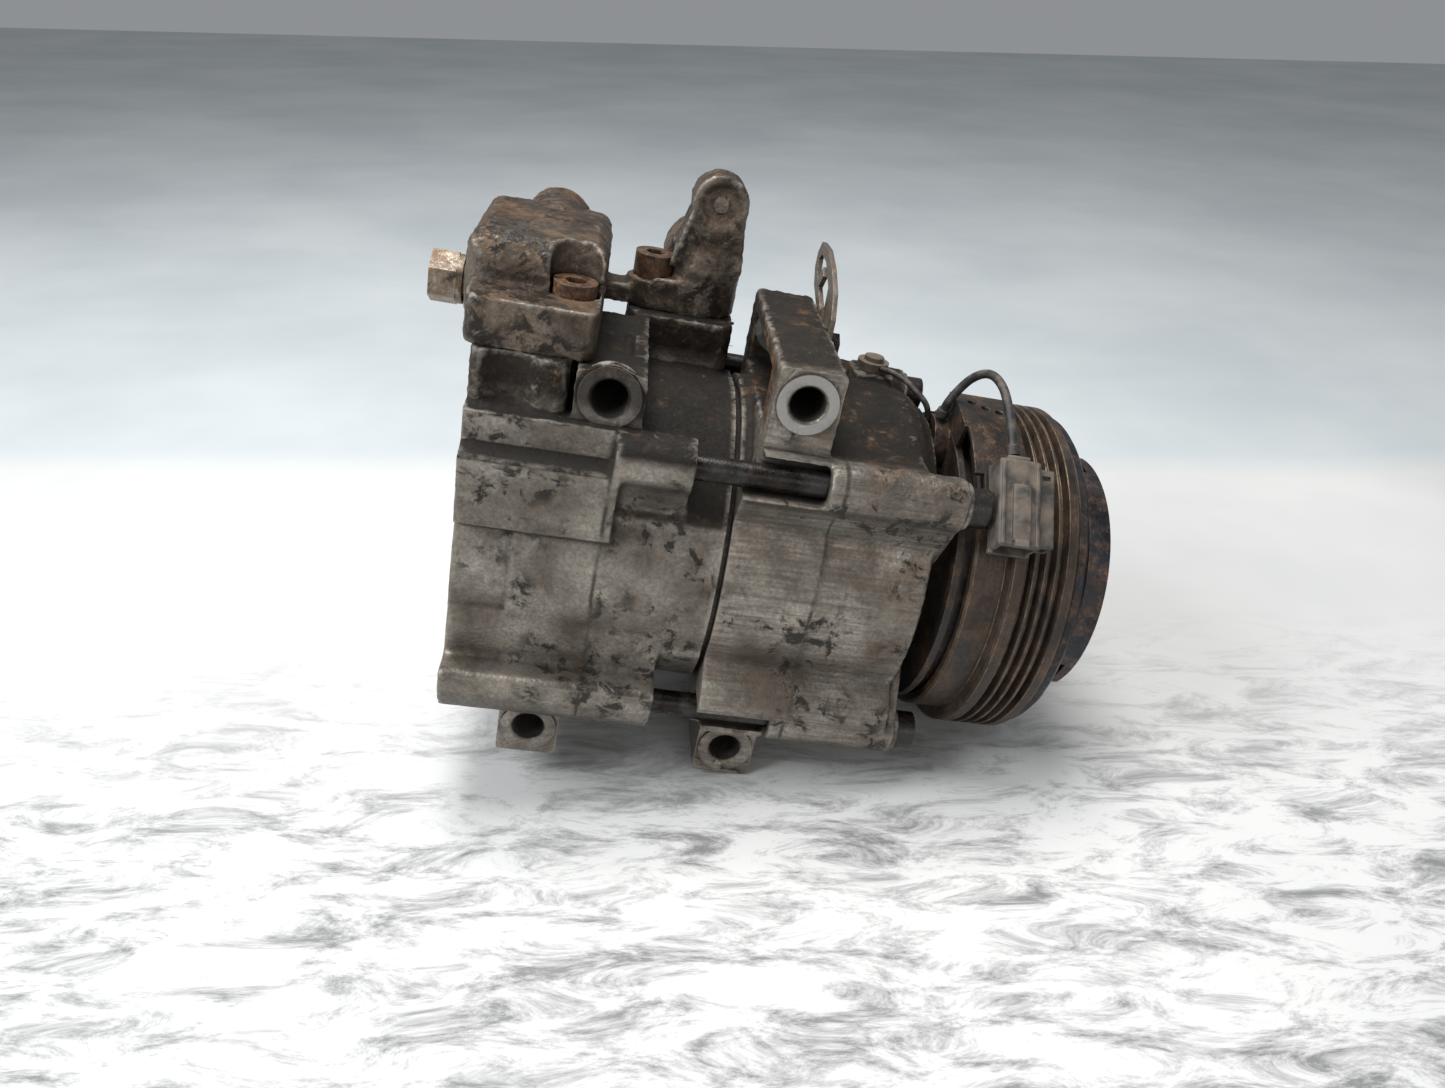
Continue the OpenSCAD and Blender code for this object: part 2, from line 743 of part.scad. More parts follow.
module connector() {
    color([0.30, 0.28, 0.27]) rotate([-conn_angle, 0, 0]) difference() {
        union() {
            // main housing, side pod and the latch ridge; +Z is the socket end here
            translate([0, -60.8, 0]) {
                box([-22, -9.4, -15], [-8.6, 0, 14]);
                box([-9, -7.4, -13], [-3.4, -0.6, 12]);
                box([-18, -10.8, -13], [-12.4, -9, 5]);
            }
        }
        // socket, open at the lower end
        translate([0, -60.8, 0]) {
            box([-20.4, -7.8, -16], [-10.4, -1.6, 0]);
            box([-8, -5.8, -14], [-4.8, -2.2, -3]);
        }
    }
}

module connector_terminals() {
    color(copper) rotate([-conn_angle, 0, 0]) translate([0, -60.8, 0]) for (x = [-18, -13.6])
        box([x, -5.2, -10], [x + 1.2, -4.4, 4]);
}

// Tube swept along a list of points: rings of eight points across the route
function unit(v) = v / norm(v);
function tangent(p, i) = unit(p[min(i + 1, len(p) - 1)] - p[max(i - 1, 0)]);
function side_of(t, up) = unit(cross(t, up));
function catmull(a, b, c, d, t) = 0.5 * (2 * b + (c - a) * t
    + (2 * a - 5 * b + 4 * c - d) * t * t + (3 * b - a - 3 * c + d) * t * t * t);
function smooth_path(p, n) = concat([for (i = [0 : len(p) - 2], k = [0 : n - 1])
    catmull(p[max(i - 1, 0)], p[i], p[i + 1], p[min(i + 2, len(p) - 1)], k / n)],
    [p[len(p) - 1]]);

module tube(route, r, up, steps = 4) {
    sides = 8;
    path = smooth_path(route, steps);
    n = len(path);
    pts = [for (i = [0 : n - 1]) let (t = tangent(path, i), s = side_of(t, up), u = cross(s, t))
        for (k = [0 : sides - 1])
            path[i] + r * (cos(360 * k / sides) * s + sin(360 * k / sides) * u)];
    walls = [for (i = [0 : n - 2], k = [0 : sides - 1]) let (a = i * sides + k,
        b = i * sides + (k + 1) % sides) [a, b, b + sides, a + sides]];
    caps = [[for (k = [sides - 1 : -1 : 0]) k], [for (k = [0 : sides - 1]) (n - 1) * sides + k]];
    polyhedron(points = pts, faces = concat(walls, caps), convexity = 6);
}

coil_lead_route = [[-30, -2, 54.2], [-29.5, -3, 59], [-27.5, -3.5, 64], [-25, -5, 69],
    [-22.5, -8.5, 72.6], [-20.5, -13, 73.6], [-19, -19, 72.2], [-18, -25, 68.6],
    [-16.8, -31, 63], [-16, -36.2, 57.2]];

module coil_lead() {
    color(rubber) tube(coil_lead_route, 1.45, [1, 0.2, 0]);
}

module thermal_switch() {
    color([0.24, 0.24, 0.23]) {
        translate([-51, 22, 58.5]) cylinder(h = 3, r = 5.5, $fn = 40);
        translate([-51, 22, 61.5]) cylinder(h = 1.6, r = 3.4, $fn = 40);
    }
}

switch_lead_route = [[-49, 16.4, 60.6], [-46, 12.5, 61.2], [-42.5, 8, 60.8], [-39, 4.2, 59],
    [-36.2, 1.8, 57], [-34.4, 1.4, 54.8], [-33.3, 1.6, 51.8], [-33.1, 2, 49]];

module switch_lead() {
    color(rubber) tube(switch_lead_route, 1.0, [0, 0.3, 1]);
}

module bearing_outer_race() {
    mid = (bearing_x0 + bearing_x1) / 2;
    color(steel) difference() {
        xring(bearing_x0, bearing_x1, 26, 23.6, 96);
        for (s = [-1, 1]) turned() translate([21.75, mid + s * 5]) circle(r = 2.62, $fn = 40);
    }
}

module bearing_inner_race() {
    mid = (bearing_x0 + bearing_x1) / 2;
    color(steel) difference() {
        xring(bearing_x0, bearing_x1, 19.9, nose_r, 96);
        for (s = [-1, 1]) turned() translate([21.75, mid + s * 5]) circle(r = 2.62, $fn = 40);
    }
}

module bearing_balls() {
    mid = (bearing_x0 + bearing_x1) / 2;
    color(steel) for (s = [-1, 1]) around(16, s * 5.6)
        translate([mid + s * 5, 21.75, 0]) sphere(r = 2.55, $fn = 24);
}

module bearing_seals() {
    color(rubber) {
        xring(bearing_x0 + 0.2, bearing_x0 + 1.4, 23.58, 20.1, 96);
        xring(bearing_x1 - 1.4, bearing_x1 - 0.2, 23.58, 20.1, 96);
    }
}

module bearing_snap_ring() {
    color(steel) difference() {
        xring(bearing_x1 + 0.02, bearing_x1 + 1.3, 19.6, nose_r - 0.95, 64);
        box([bearing_x1 - 1, -1.5, 10], [bearing_x1 + 3, 1.5, 25]);
    }
}

module pulley_snap_ring() {
    color(steel) difference() {
        xring(bearing_x0 - 1.3, bearing_x0 - 0.02, 27.2, 24.4, 96);
        box([bearing_x0 - 3, -2, 20], [bearing_x0 + 1, 2, 30]);
    }
}

// Radius profile of the rim: band, rear flange, belt grooves, front flange
function groove_points(i) = let (c = (i - (grooves - 1) / 2) * groove_pitch)
    [[pulley_r, c - 1.42], [pulley_r - groove_depth, c - 0.42],
    [pulley_r - groove_depth, c + 0.42], [pulley_r, c + 1.42]];

module pulley() {
    flange_x = -grooves * groove_pitch / 2 - 3.6;
    boss_out = 28.8;
    color(rust) difference() {
        turned() difference() {
            polygon(concat([[26.02, bearing_x0 - 2.2], [boss_out, bearing_x0 - 2.2],
                [boss_out, 4.6], [49.7, 4.6], [50.2, rim_back_x], [band_r - 0.7, rim_back_x],
                [band_r, rim_back_x + 0.7], [band_r, flange_x - 0.6],
                [pulley_r - 1, flange_x], [pulley_r, flange_x + 0.6]],
                [for (i = [0 : grooves - 1]) each groove_points(i)],
                [[pulley_r, rim_front_x - 0.8], [pulley_r - 0.8, rim_front_x],
                [26.02, rim_front_x]]));
            // seat shoulder and groove of the ring that keeps the bearing in
            translate([24, bearing_x0 - 1.4]) square([3.3, 1.4]);
        }
        // opening in front of the bearing
        xbar(bearing_x1, rim_front_x + 1, 24.6);
        // curved slots through the friction face that steer the magnetic field
        for (i = [0 : 5]) rotate([i * 60, 0, 0]) intersection() {
            xring(0, rim_front_x + 1, 43.6, 39.4, 96);
            along_x(0, 20) polygon([[0, 0], [60, -26], [60, 26]]);
        }
    }
    color(rust) xring(bearing_x1, rim_front_x - 1.6, 26.3, 24.5, 96);
}

plate_x = rim_front_x + air_gap;
plate_t = 4.1;
hub_x = 19;
hub_t = 3.4;

module armature_plate() {
    color([0.20, 0.21, 0.24]) difference() {
        turned() polygon([[29, plate_x], [plate_r - 0.6, plate_x], [plate_r, plate_x + 0.6],
            [plate_r, plate_x + plate_t - 1.2], [plate_r - 1.2, plate_x + plate_t],
            [29, plate_x + plate_t]]);
        for (i = [0 : 2]) rotate([90 - hub_angle + i * 120, 0, 0]) intersection() {
            xring(plate_x - 1, plate_x + 6, 37.4, 33.8, 96);
            along_x(0, 30) polygon([[0, 0], [60, -30], [60, 30]]);
        }
        armature_rivet_places() xbar(plate_x - 1, plate_x + 6, 2.6, 32);
    }
}

// Rivet places: the plate end and the hub end of each leaf spring
rivet_pcr = 45;

module armature_rivet_places() {
    for (i = [0 : lobes - 1]) rotate([180 - hub_angle + i * 120 - 60, 0, 0])
        translate([0, rivet_pcr, 0]) children();
}

module hub_rivet_places() {
    for (i = [0 : lobes - 1]) rotate([180 - hub_angle + i * 120 - 20, 0, 0])
        translate([0, rivet_pcr, 0]) children();
}

module armature_rivets() {
    color(steel) armature_rivet_places() {
        xbar(plate_x + 0.3, 17.9, 2.6, 32);
        xbar(17.9, 19.6, 4.4, 32);
    }
}

module hub_rivets() {
    color(steel) hub_rivet_places() {
        xbar(hub_x + hub_t + 0.02, hub_x + hub_t + 1, 4.2, 32);
        xbar(16.2, hub_x + hub_t + 0.5, 2.59, 32);
        xbar(16.2, 16.98, 4.2, 32);
        xbar(17.82, hub_x - 0.02, 4.4, 32);
    }
}

module leaf_springs() {
    span = 2 * rivet_pcr * sin(20);
    color(dark_steel) for (i = [0 : lobes - 1]) difference() {
        rotate([180 - hub_angle + i * 120 - 40, 0, 0]) translate([17.0, rivet_pcr * cos(20), 0]) {
            box([0, -5.2, -span / 2], [0.8, 5.2, span / 2]);
            for (s = [-1, 1]) translate([0, 0, s * span / 2]) xbar(0, 0.8, 5.2, 32);
        }
        armature_rivet_places() xbar(10, 30, 2.65, 32);
        hub_rivet_places() xbar(10, 30, 2.62, 32);
    }
}

// Outline of the hub's flange: three broad lobes, each a large circle off the axis
module hub_outline(x0, x1) {
    for (i = [0 : lobes - 1]) rotate([180 - hub_angle + i * 120, 0, 0])
        translate([0, plate_r - 42, 0]) xbar(x0, x1, 41, 128);
}

// Hub: a splined sleeve and a lobed flange, with a skirt round each lobe
module clutch_hub() {
    front = hub_x + hub_t;
    skirt_x = plate_x + plate_t + 0.3;
    color([0.22, 0.24, 0.28]) difference() {
        union() {
            xbar(11.2, front, 13, 64);
            xbar(hub_x - 1.2, front, 37, 96);
            difference() {
                hub_outline(skirt_x, front);
                xbar(skirt_x - 1, hub_x, 50.9, 128);
            }
        }
        // bore, and the well of the nut
        xbar(11, 40, 4.95, 48);
        xbar(17.6, 40, 11, 64);
        hub_rivet_places() xbar(10, 40, 2.6, 32);
        // notches over the rivets of the armature plate
        for (i = [0 : lobes - 1]) rotate([120 - hub_angle + i * 120, 0, 0])
            box([10, rivet_pcr - 5.4, -4.9], [40, 60, 4.9]);
        // lightening holes in the valley
        around(lobes, -hub_angle) translate([0, 26, 0]) xbar(0, 40, 3.2, 32);
        // dished front
        turned() polygon([[14, 30], [14, hub_x + 1.4], [29, hub_x + 2.2], [38, front + 0.1],
            [38, 30]]);
    }
}

module hub_nut() {
    color(steel) difference() {
        xbar(17.62, 22.2, 8.1, 6);
        xbar(10, 30, 4.92, 48);
    }
}

module hub_shims() {
    color(steel) xring(11.0, 11.19, 7.1, 4.95, 48);
}

/* --------------------------------------------------------------------- clip */

clip_t = 1.6;

// Sheet hook that stands on the side of the upper lug and curls at its top
module clip_bracket() {
    color([0.34, 0.31, 0.29]) difference() {
        along_x(clip_x, clip_x + clip_t) difference() {
            polygon([[-2, 64], [-4, 70], [-3, 80], [3, 87], [14, 92], [27, 95], [40, 94.5],
                [44, 90], [43.5, 85], [38, 80], [26, 76], [15, 70], [13, 64]]);
            polygon([[12, 80], [13, 86], [26, 91], [36, 91.4], [39.6, 88.6], [38, 84.6], [27, 80.4],
                [18, 77]]);
        }
        translate([0, clip_screw_at[0], clip_screw_at[1]]) xbar(clip_x - 1, clip_x + 5, 2.7, 32);
    }
    // hooked tongue in the window
    color([0.34, 0.31, 0.29]) along_x(clip_x, clip_x + clip_t)
        polygon([[34, 81.5], [30.6, 80.2], [25, 86.4], [29, 88.6]]);
}

module clip_screw() {
    color(dark_steel) translate([0, clip_screw_at[0], clip_screw_at[1]]) {
        xbar(clip_x + clip_t, clip_x + clip_t + 4.2, 4.6, 6);
        xbar(clip_x - 3.8, clip_x + clip_t + 0.01, 2.49, 32);
    }
}

rear_housing();
front_housing();
rear_cylinder_block();
front_cylinder_block();
rear_valve_plate();
front_valve_plate();
rear_suction_reed();
front_suction_reed();
rear_discharge_reed();
front_discharge_reed();
rear_head_gasket();
front_head_gasket();
housing_o_ring();
through_bolts();
bolt_washers();
manifold();
manifold_screws();
manifold_gasket();
relief_valve();
relief_valve_seal();
swash_plate();
piston_1();
piston_2();
piston_3();
piston_4();
piston_5();
piston_shoes();
rear_needle_bearing();
front_needle_bearing();
rear_thrust_bearing();
front_thrust_bearing();
shaft();
shaft_seal();
seal_snap_ring();
coil_shell();
coil_winding();
coil_snap_ring();
connector_bracket();
connector();
connector_terminals();
coil_lead();
thermal_switch();
switch_lead();
pulley();
bearing_outer_race();
bearing_inner_race();
bearing_balls();
bearing_seals();
bearing_snap_ring();
pulley_snap_ring();
clutch_hub();
hub_nut();
hub_shims();
armature_plate();
armature_rivets();
leaf_springs();
hub_rivets();
clip_bracket();
clip_screw();
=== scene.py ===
import json
import math

import bmesh
import bpy
from mathutils import Matrix, Vector, noise


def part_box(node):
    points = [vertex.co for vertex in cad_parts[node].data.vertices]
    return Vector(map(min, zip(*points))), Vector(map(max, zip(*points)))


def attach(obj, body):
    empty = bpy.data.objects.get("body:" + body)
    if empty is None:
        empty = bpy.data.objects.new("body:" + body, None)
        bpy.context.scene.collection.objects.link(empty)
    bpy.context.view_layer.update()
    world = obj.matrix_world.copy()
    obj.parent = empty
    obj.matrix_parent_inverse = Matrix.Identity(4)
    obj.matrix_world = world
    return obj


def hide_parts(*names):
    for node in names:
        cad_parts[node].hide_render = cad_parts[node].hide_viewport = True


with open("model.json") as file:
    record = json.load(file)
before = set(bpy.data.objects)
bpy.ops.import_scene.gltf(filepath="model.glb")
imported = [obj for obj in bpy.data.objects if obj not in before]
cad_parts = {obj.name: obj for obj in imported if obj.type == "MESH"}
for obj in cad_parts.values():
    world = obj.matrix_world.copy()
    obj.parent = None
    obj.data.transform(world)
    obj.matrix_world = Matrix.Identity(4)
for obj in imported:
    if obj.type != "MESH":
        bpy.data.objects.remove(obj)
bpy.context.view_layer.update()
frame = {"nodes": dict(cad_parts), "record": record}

# ------------------------------------------------------------------ view
# The camera stands over the rear left of the compressor and looks along the barrel.
# The part lies tipped on its pulley rim and its front lower lug, so the camera is rolled.
camera_place = Vector((-0.1471, -0.3319, 0.1731))
camera_azimuth = math.radians(-9.24)
camera_height = math.radians(28.18)
camera_roll = math.radians(12.22)

camera_data = bpy.data.cameras.new("view")
camera_data.sensor_width = 36
camera_data.lens = 26.71
camera_data.clip_start = 0.01
camera = bpy.data.objects.new("view", camera_data)
bpy.context.scene.collection.objects.link(camera)
bpy.context.scene.camera = camera
back = Vector((math.sin(camera_azimuth) * math.cos(camera_height),
               -math.cos(camera_azimuth) * math.cos(camera_height), math.sin(camera_height)))
level = (-back).cross(Vector((0, 0, 1))).normalized()
upright = level.cross(-back)
across = level * math.cos(camera_roll) + upright * math.sin(camera_roll)
upward = upright * math.cos(camera_roll) - level * math.sin(camera_roll)
turned_camera = Matrix((across, upward, back)).transposed().to_4x4()
camera.matrix_world = Matrix.Translation(camera_place) @ turned_camera

# ------------------------------------------------------------------ room
# A pale table top under the part: it touches the pulley's rim and the front lower lug.
# Soft light comes from overhead windows, with a weaker fill from the viewer's side.
mounts = {mount["name"]: mount for mount in frame["record"]["mounts"]}
lug_half_width = 0.010
floor_gap = 0.0002
rim_low, rim_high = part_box("pulley")
foot_x = mounts["lug_front_low"]["pos_m"][0] + lug_half_width
foot_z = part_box("front_housing")[0].z
tip = math.atan2(rim_low.z - foot_z, rim_high.x - foot_x)
floor_up = Vector((-math.sin(tip), 0, math.cos(tip)))
floor_point = Vector((rim_high.x, 0, rim_low.z)) - floor_up * floor_gap


def new_object(name, mesh):
    """An object in the scene that shows the mesh."""
    made = bpy.data.objects.new(name, mesh)
    bpy.context.scene.collection.objects.link(made)
    return made


def mesh_from(name, bm):
    """A smooth-shaded mesh from bm, which is freed."""
    mesh = bpy.data.meshes.new(name)
    bm.to_mesh(mesh)
    bm.free()
    mesh.shade_smooth()
    return mesh


def feed(tree, node, inputs):
    """Links or sets each named input of the node."""
    for key, value in inputs.items():
        if isinstance(value, bpy.types.NodeSocket):
            tree.links.new(value, node.inputs[key])
        else:
            node.inputs[key].default_value = value


def add_node(tree, kind, inputs={}, **settings):
    """A new shader node with its settings made and its inputs fed."""
    made = tree.nodes.new("ShaderNode" + kind)
    for key, value in settings.items():
        setattr(made, key, value)
    feed(tree, made, inputs)
    return made


def mix_color(tree, mask, first, second):
    """The first colour where the mask is 0, and the second where it is 1."""
    return add_node(tree, "Mix", {0: mask, 6: first, 7: second}, data_type="RGBA").outputs[2]


def spread(tree, value, low, high, to_low=0.0, to_high=1.0):
    """The value's range from low to high, clamped and carried to another range."""
    made = add_node(tree, "MapRange", {"Value": value, "From Min": low, "From Max": high,
                                       "To Min": to_low, "To Max": to_high})
    return made.outputs[0]


def calc(tree, operation, first, second=0.0, clamp=False):
    """One step of arithmetic between two values."""
    made = add_node(tree, "Math", {0: first, 1: second}, operation=operation, use_clamp=clamp)
    return made.outputs[0]


def times(tree, first, *others):
    """All the values multiplied together."""
    for other in others:
        first = calc(tree, "MULTIPLY", first, other)
    return first


def most(tree, first, *others):
    """The largest of the values."""
    for other in others:
        first = calc(tree, "MAXIMUM", first, other)
    return first


def rgb(red, green, blue):
    """An opaque colour."""
    return (red, green, blue, 1.0)


def noise_at(tree, place, size, detail=5.0, rough=0.6, twist=0.0):
    """Cloudy noise whose blotches are about size metres across."""
    made = add_node(tree, "TexNoise", {"Vector": place, "Scale": 1.0 / size, "Detail": detail,
                                       "Roughness": rough, "Distortion": twist})
    return made.outputs["Fac"]


table_top = bmesh.new()
table_reach = 3.0
bmesh.ops.create_grid(table_top, x_segments=2, y_segments=2, size=table_reach)
lay = Matrix.Translation(floor_point) @ Matrix.Rotation(-tip, 4, "Y")
bmesh.ops.transform(table_top, matrix=lay, verts=table_top.verts)
floor = new_object("table_top", mesh_from("table_top", table_top))
table_paint = bpy.data.materials.new("table_paint")
table_paint.use_nodes = True
tree = table_paint.node_tree
place = add_node(tree, "TexCoord").outputs["Object"]
part = add_node(tree, "SeparateXYZ", {0: place}).outputs
patches = spread(tree, noise_at(tree, place, 0.25, 4.0), 0.35, 0.65)
paint = mix_color(tree, patches, rgb(0.60, 0.605, 0.60), rgb(0.70, 0.70, 0.69))
# scuffs and grey rubbed dirt near the part, and a bluer sheet further back
slanted = add_node(tree, "Mapping", {"Vector": place, "Rotation": (0, 0, 0.5),
                                     "Scale": (1.0, 3.0, 1.0)}).outputs[0]
dirt = spread(tree, noise_at(tree, slanted, 0.035, 12.0, 0.78, 0.6), 0.47, 0.62)
near = times(tree, spread(tree, part["Y"], 0.06, -0.08), spread(tree, part["Y"], -0.60, -0.25))
paint = mix_color(tree, times(tree, dirt, near, 0.80), paint, rgb(0.10, 0.10, 0.105))
far = spread(tree, calc(tree, "ADD", part["Y"], times(tree, patches, 0.015)), 0.205, 0.235)
far_paint = mix_color(tree, patches, rgb(0.50, 0.54, 0.56), rgb(0.60, 0.635, 0.65))
paint = mix_color(tree, far, paint, far_paint)
feed(tree, tree.nodes["Principled BSDF"], {"Base Color": paint, "Roughness": 0.5})
floor.data.materials.append(table_paint)

room = bpy.data.worlds.new("room")
bpy.context.scene.world = room
room.use_nodes = True
feed(room.node_tree, room.node_tree.nodes["Background"],
     {"Color": rgb(0.80, 0.83, 0.86), "Strength": 0.34})
bpy.context.scene.view_settings.view_transform = "Standard"
bpy.context.scene.view_settings.look = "None"


def soft_light(name, place, size, power, color):
    """A soft rectangle of light that faces the middle of the part; its power is in watts."""
    data = bpy.data.lights.new(name, "AREA")
    data.shape = "RECTANGLE"
    data.size, data.size_y = size
    data.energy = power
    data.color = color
    lamp = bpy.data.objects.new(name, data)
    bpy.context.scene.collection.objects.link(lamp)
    toward = (Vector(place) - lit_point).to_track_quat("Z", "Y").to_matrix().to_4x4()
    lamp.matrix_world = Matrix.Translation(Vector(place)) @ toward


lit_point = Vector((-0.08, 0, 0))
soft_light("overhead", (-0.35, 0.10, 1.10), (0.6, 0.5), 14, (1.0, 0.99, 0.97))
soft_light("left_window", (-1.00, -0.30, 0.60), (0.6, 0.5), 10, (0.95, 0.98, 1.0))
soft_light("front_fill", (0.10, -1.10, 0.45), (0.8, 0.6), 2.2, (1.0, 0.98, 0.95))


# ------------------------------------------------------------------ rear housing
# The rear half of the pump body is a sand-rough aluminium die casting, oily and stained.
# Its cast edges are rounded; the lug faces, the mounting bores and the seam are machined.
def make_group(name, inputs, outputs):
    """A new node group, and its own input and output sockets."""
    tree = bpy.data.node_groups.new(name, "ShaderNodeTree")
    kinds = {float: "NodeSocketFloat", tuple: "NodeSocketVector"}
    for label, start in inputs:
        socket = tree.interface.new_socket(label, in_out="INPUT", socket_type=kinds[type(start)])
        socket.default_value = start
    for label, kind in outputs:
        tree.interface.new_socket(label, in_out="OUTPUT", socket_type="NodeSocket" + kind)
    return tree, tree.nodes.new("NodeGroupInput").outputs, tree.nodes.new("NodeGroupOutput").inputs


def use_group(tree, group, inputs):
    """The outputs of a group placed in the tree with its own values."""
    return add_node(tree, "Group", inputs, node_tree=group).outputs


# blotches of oil and grease with torn edges
nowhere = (0.0, 0.0, 0.0)
stains, given, result = make_group(
    "stains", [("Place", nowhere), ("Size", 0.01), ("Cover", 0.3), ("Softness", 0.05)],
    [("Mask", "Float")])
scale = calc(stains, "DIVIDE", 1.0, given["Size"])
blotch = add_node(stains, "TexNoise", {"Vector": given["Place"], "Scale": scale, "Detail": 8.0,
                                       "Roughness": 0.68, "Distortion": 0.4}).outputs["Fac"]
edge = calc(stains, "SUBTRACT", 0.68, times(stains, given["Cover"], 0.36))
low = calc(stains, "SUBTRACT", edge, given["Softness"])
high = calc(stains, "ADD", edge, given["Softness"])
stains.links.new(spread(stains, blotch, low, high), result["Mask"])

# grainy skin of a casting: fine sand grain with scattered pits
cast_grain, given, result = make_group(
    "cast_grain", [("Place", nowhere), ("Size", 0.001)], [("Height", "Float"), ("Speckle", "Float")])
scale = calc(cast_grain, "DIVIDE", 1.0, given["Size"])
fine = add_node(cast_grain, "TexNoise", {"Vector": given["Place"], "Scale": scale, "Detail": 4.0,
                                         "Roughness": 0.7}).outputs["Fac"]
pits = add_node(cast_grain, "TexVoronoi", {"Vector": given["Place"],
                                           "Scale": times(cast_grain, scale, 0.6)}).outputs["Distance"]
pit_mask = spread(cast_grain, pits, 0.05, 0.35)
cast_grain.links.new(times(cast_grain, fine, pit_mask), result["Height"])
cast_grain.links.new(spread(cast_grain, fine, 0.38, 0.62), result["Speckle"])

# rubbed edges: the mask is 1 where the surface turns within the given width
worn_edges, given, result = make_group(
    "worn_edges", [("Width", 0.0006)], [("Mask", "Float"), ("Normal", "Vector")])
rounded = add_node(worn_edges, "Bevel", {"Radius": given["Width"]}, samples=4).outputs["Normal"]
flat = add_node(worn_edges, "NewGeometry").outputs["Normal"]
turn = add_node(worn_edges, "VectorMath", {0: rounded, 1: flat},
                operation="DOT_PRODUCT").outputs["Value"]
worn_edges.links.new(spread(worn_edges, turn, 0.995, 0.90), result["Mask"])
worn_edges.links.new(rounded, result["Normal"])

# place stretched round the shaft axis, for tool marks on turned faces
turned_radius = 0.055
round_axis, given, result = make_group(
    "round_axis", [("Place", nowhere), ("Stretch", 12.0)], [("Place", "Vector")])
part = add_node(round_axis, "SeparateXYZ", {0: given["Place"]}).outputs
angle = calc(round_axis, "ARCTAN2", part["Z"], part["Y"])
squares = calc(round_axis, "ADD", times(round_axis, part["Y"], part["Y"]),
               times(round_axis, part["Z"], part["Z"]))
radius = calc(round_axis, "SQRT", squares)
arc = calc(round_axis, "DIVIDE", times(round_axis, angle, turned_radius), given["Stretch"])
joined = add_node(round_axis, "CombineXYZ", {"X": part["X"], "Y": arc, "Z": radius}).outputs[0]
round_axis.links.new(joined, result["Place"])

# a round spot on a face square to Y: 1 inside the radius, 0 outside
round_spot, given, result = make_group(
    "round_spot", [("Place", nowhere), ("Center", nowhere), ("Radius", 0.005)], [("Mask", "Float")])
spot_rim = 0.0003
offset = add_node(round_spot, "VectorMath", {0: given["Place"], 1: given["Center"]},
                  operation="SUBTRACT").outputs[0]
flat = add_node(round_spot, "VectorMath", {0: offset, 1: (1.0, 0.0, 1.0)},
                operation="MULTIPLY").outputs[0]
reach = add_node(round_spot, "VectorMath", {0: flat}, operation="LENGTH").outputs["Value"]
inside = calc(round_spot, "DIVIDE", calc(round_spot, "SUBTRACT", given["Radius"], reach), spot_rim,
              clamp=True)
round_spot.links.new(inside, result["Mask"])


def new_material(name):
    """A material, its tree and shader, and the object coordinates and normal in it."""
    made = bpy.data.materials.new(name)
    made.use_nodes = True
    tree = made.node_tree
    coords = add_node(tree, "TexCoord")
    return made, tree, tree.nodes["Principled BSDF"], coords.outputs["Object"], coords.outputs["Normal"]


def between(tree, value, low, high, soft):
    """1 from low to high, fading to 0 over soft at both ends."""
    rise = spread(tree, value, low - soft, low + soft)
    fall = spread(tree, value, high + soft, high - soft)
    return times(tree, rise, fall)


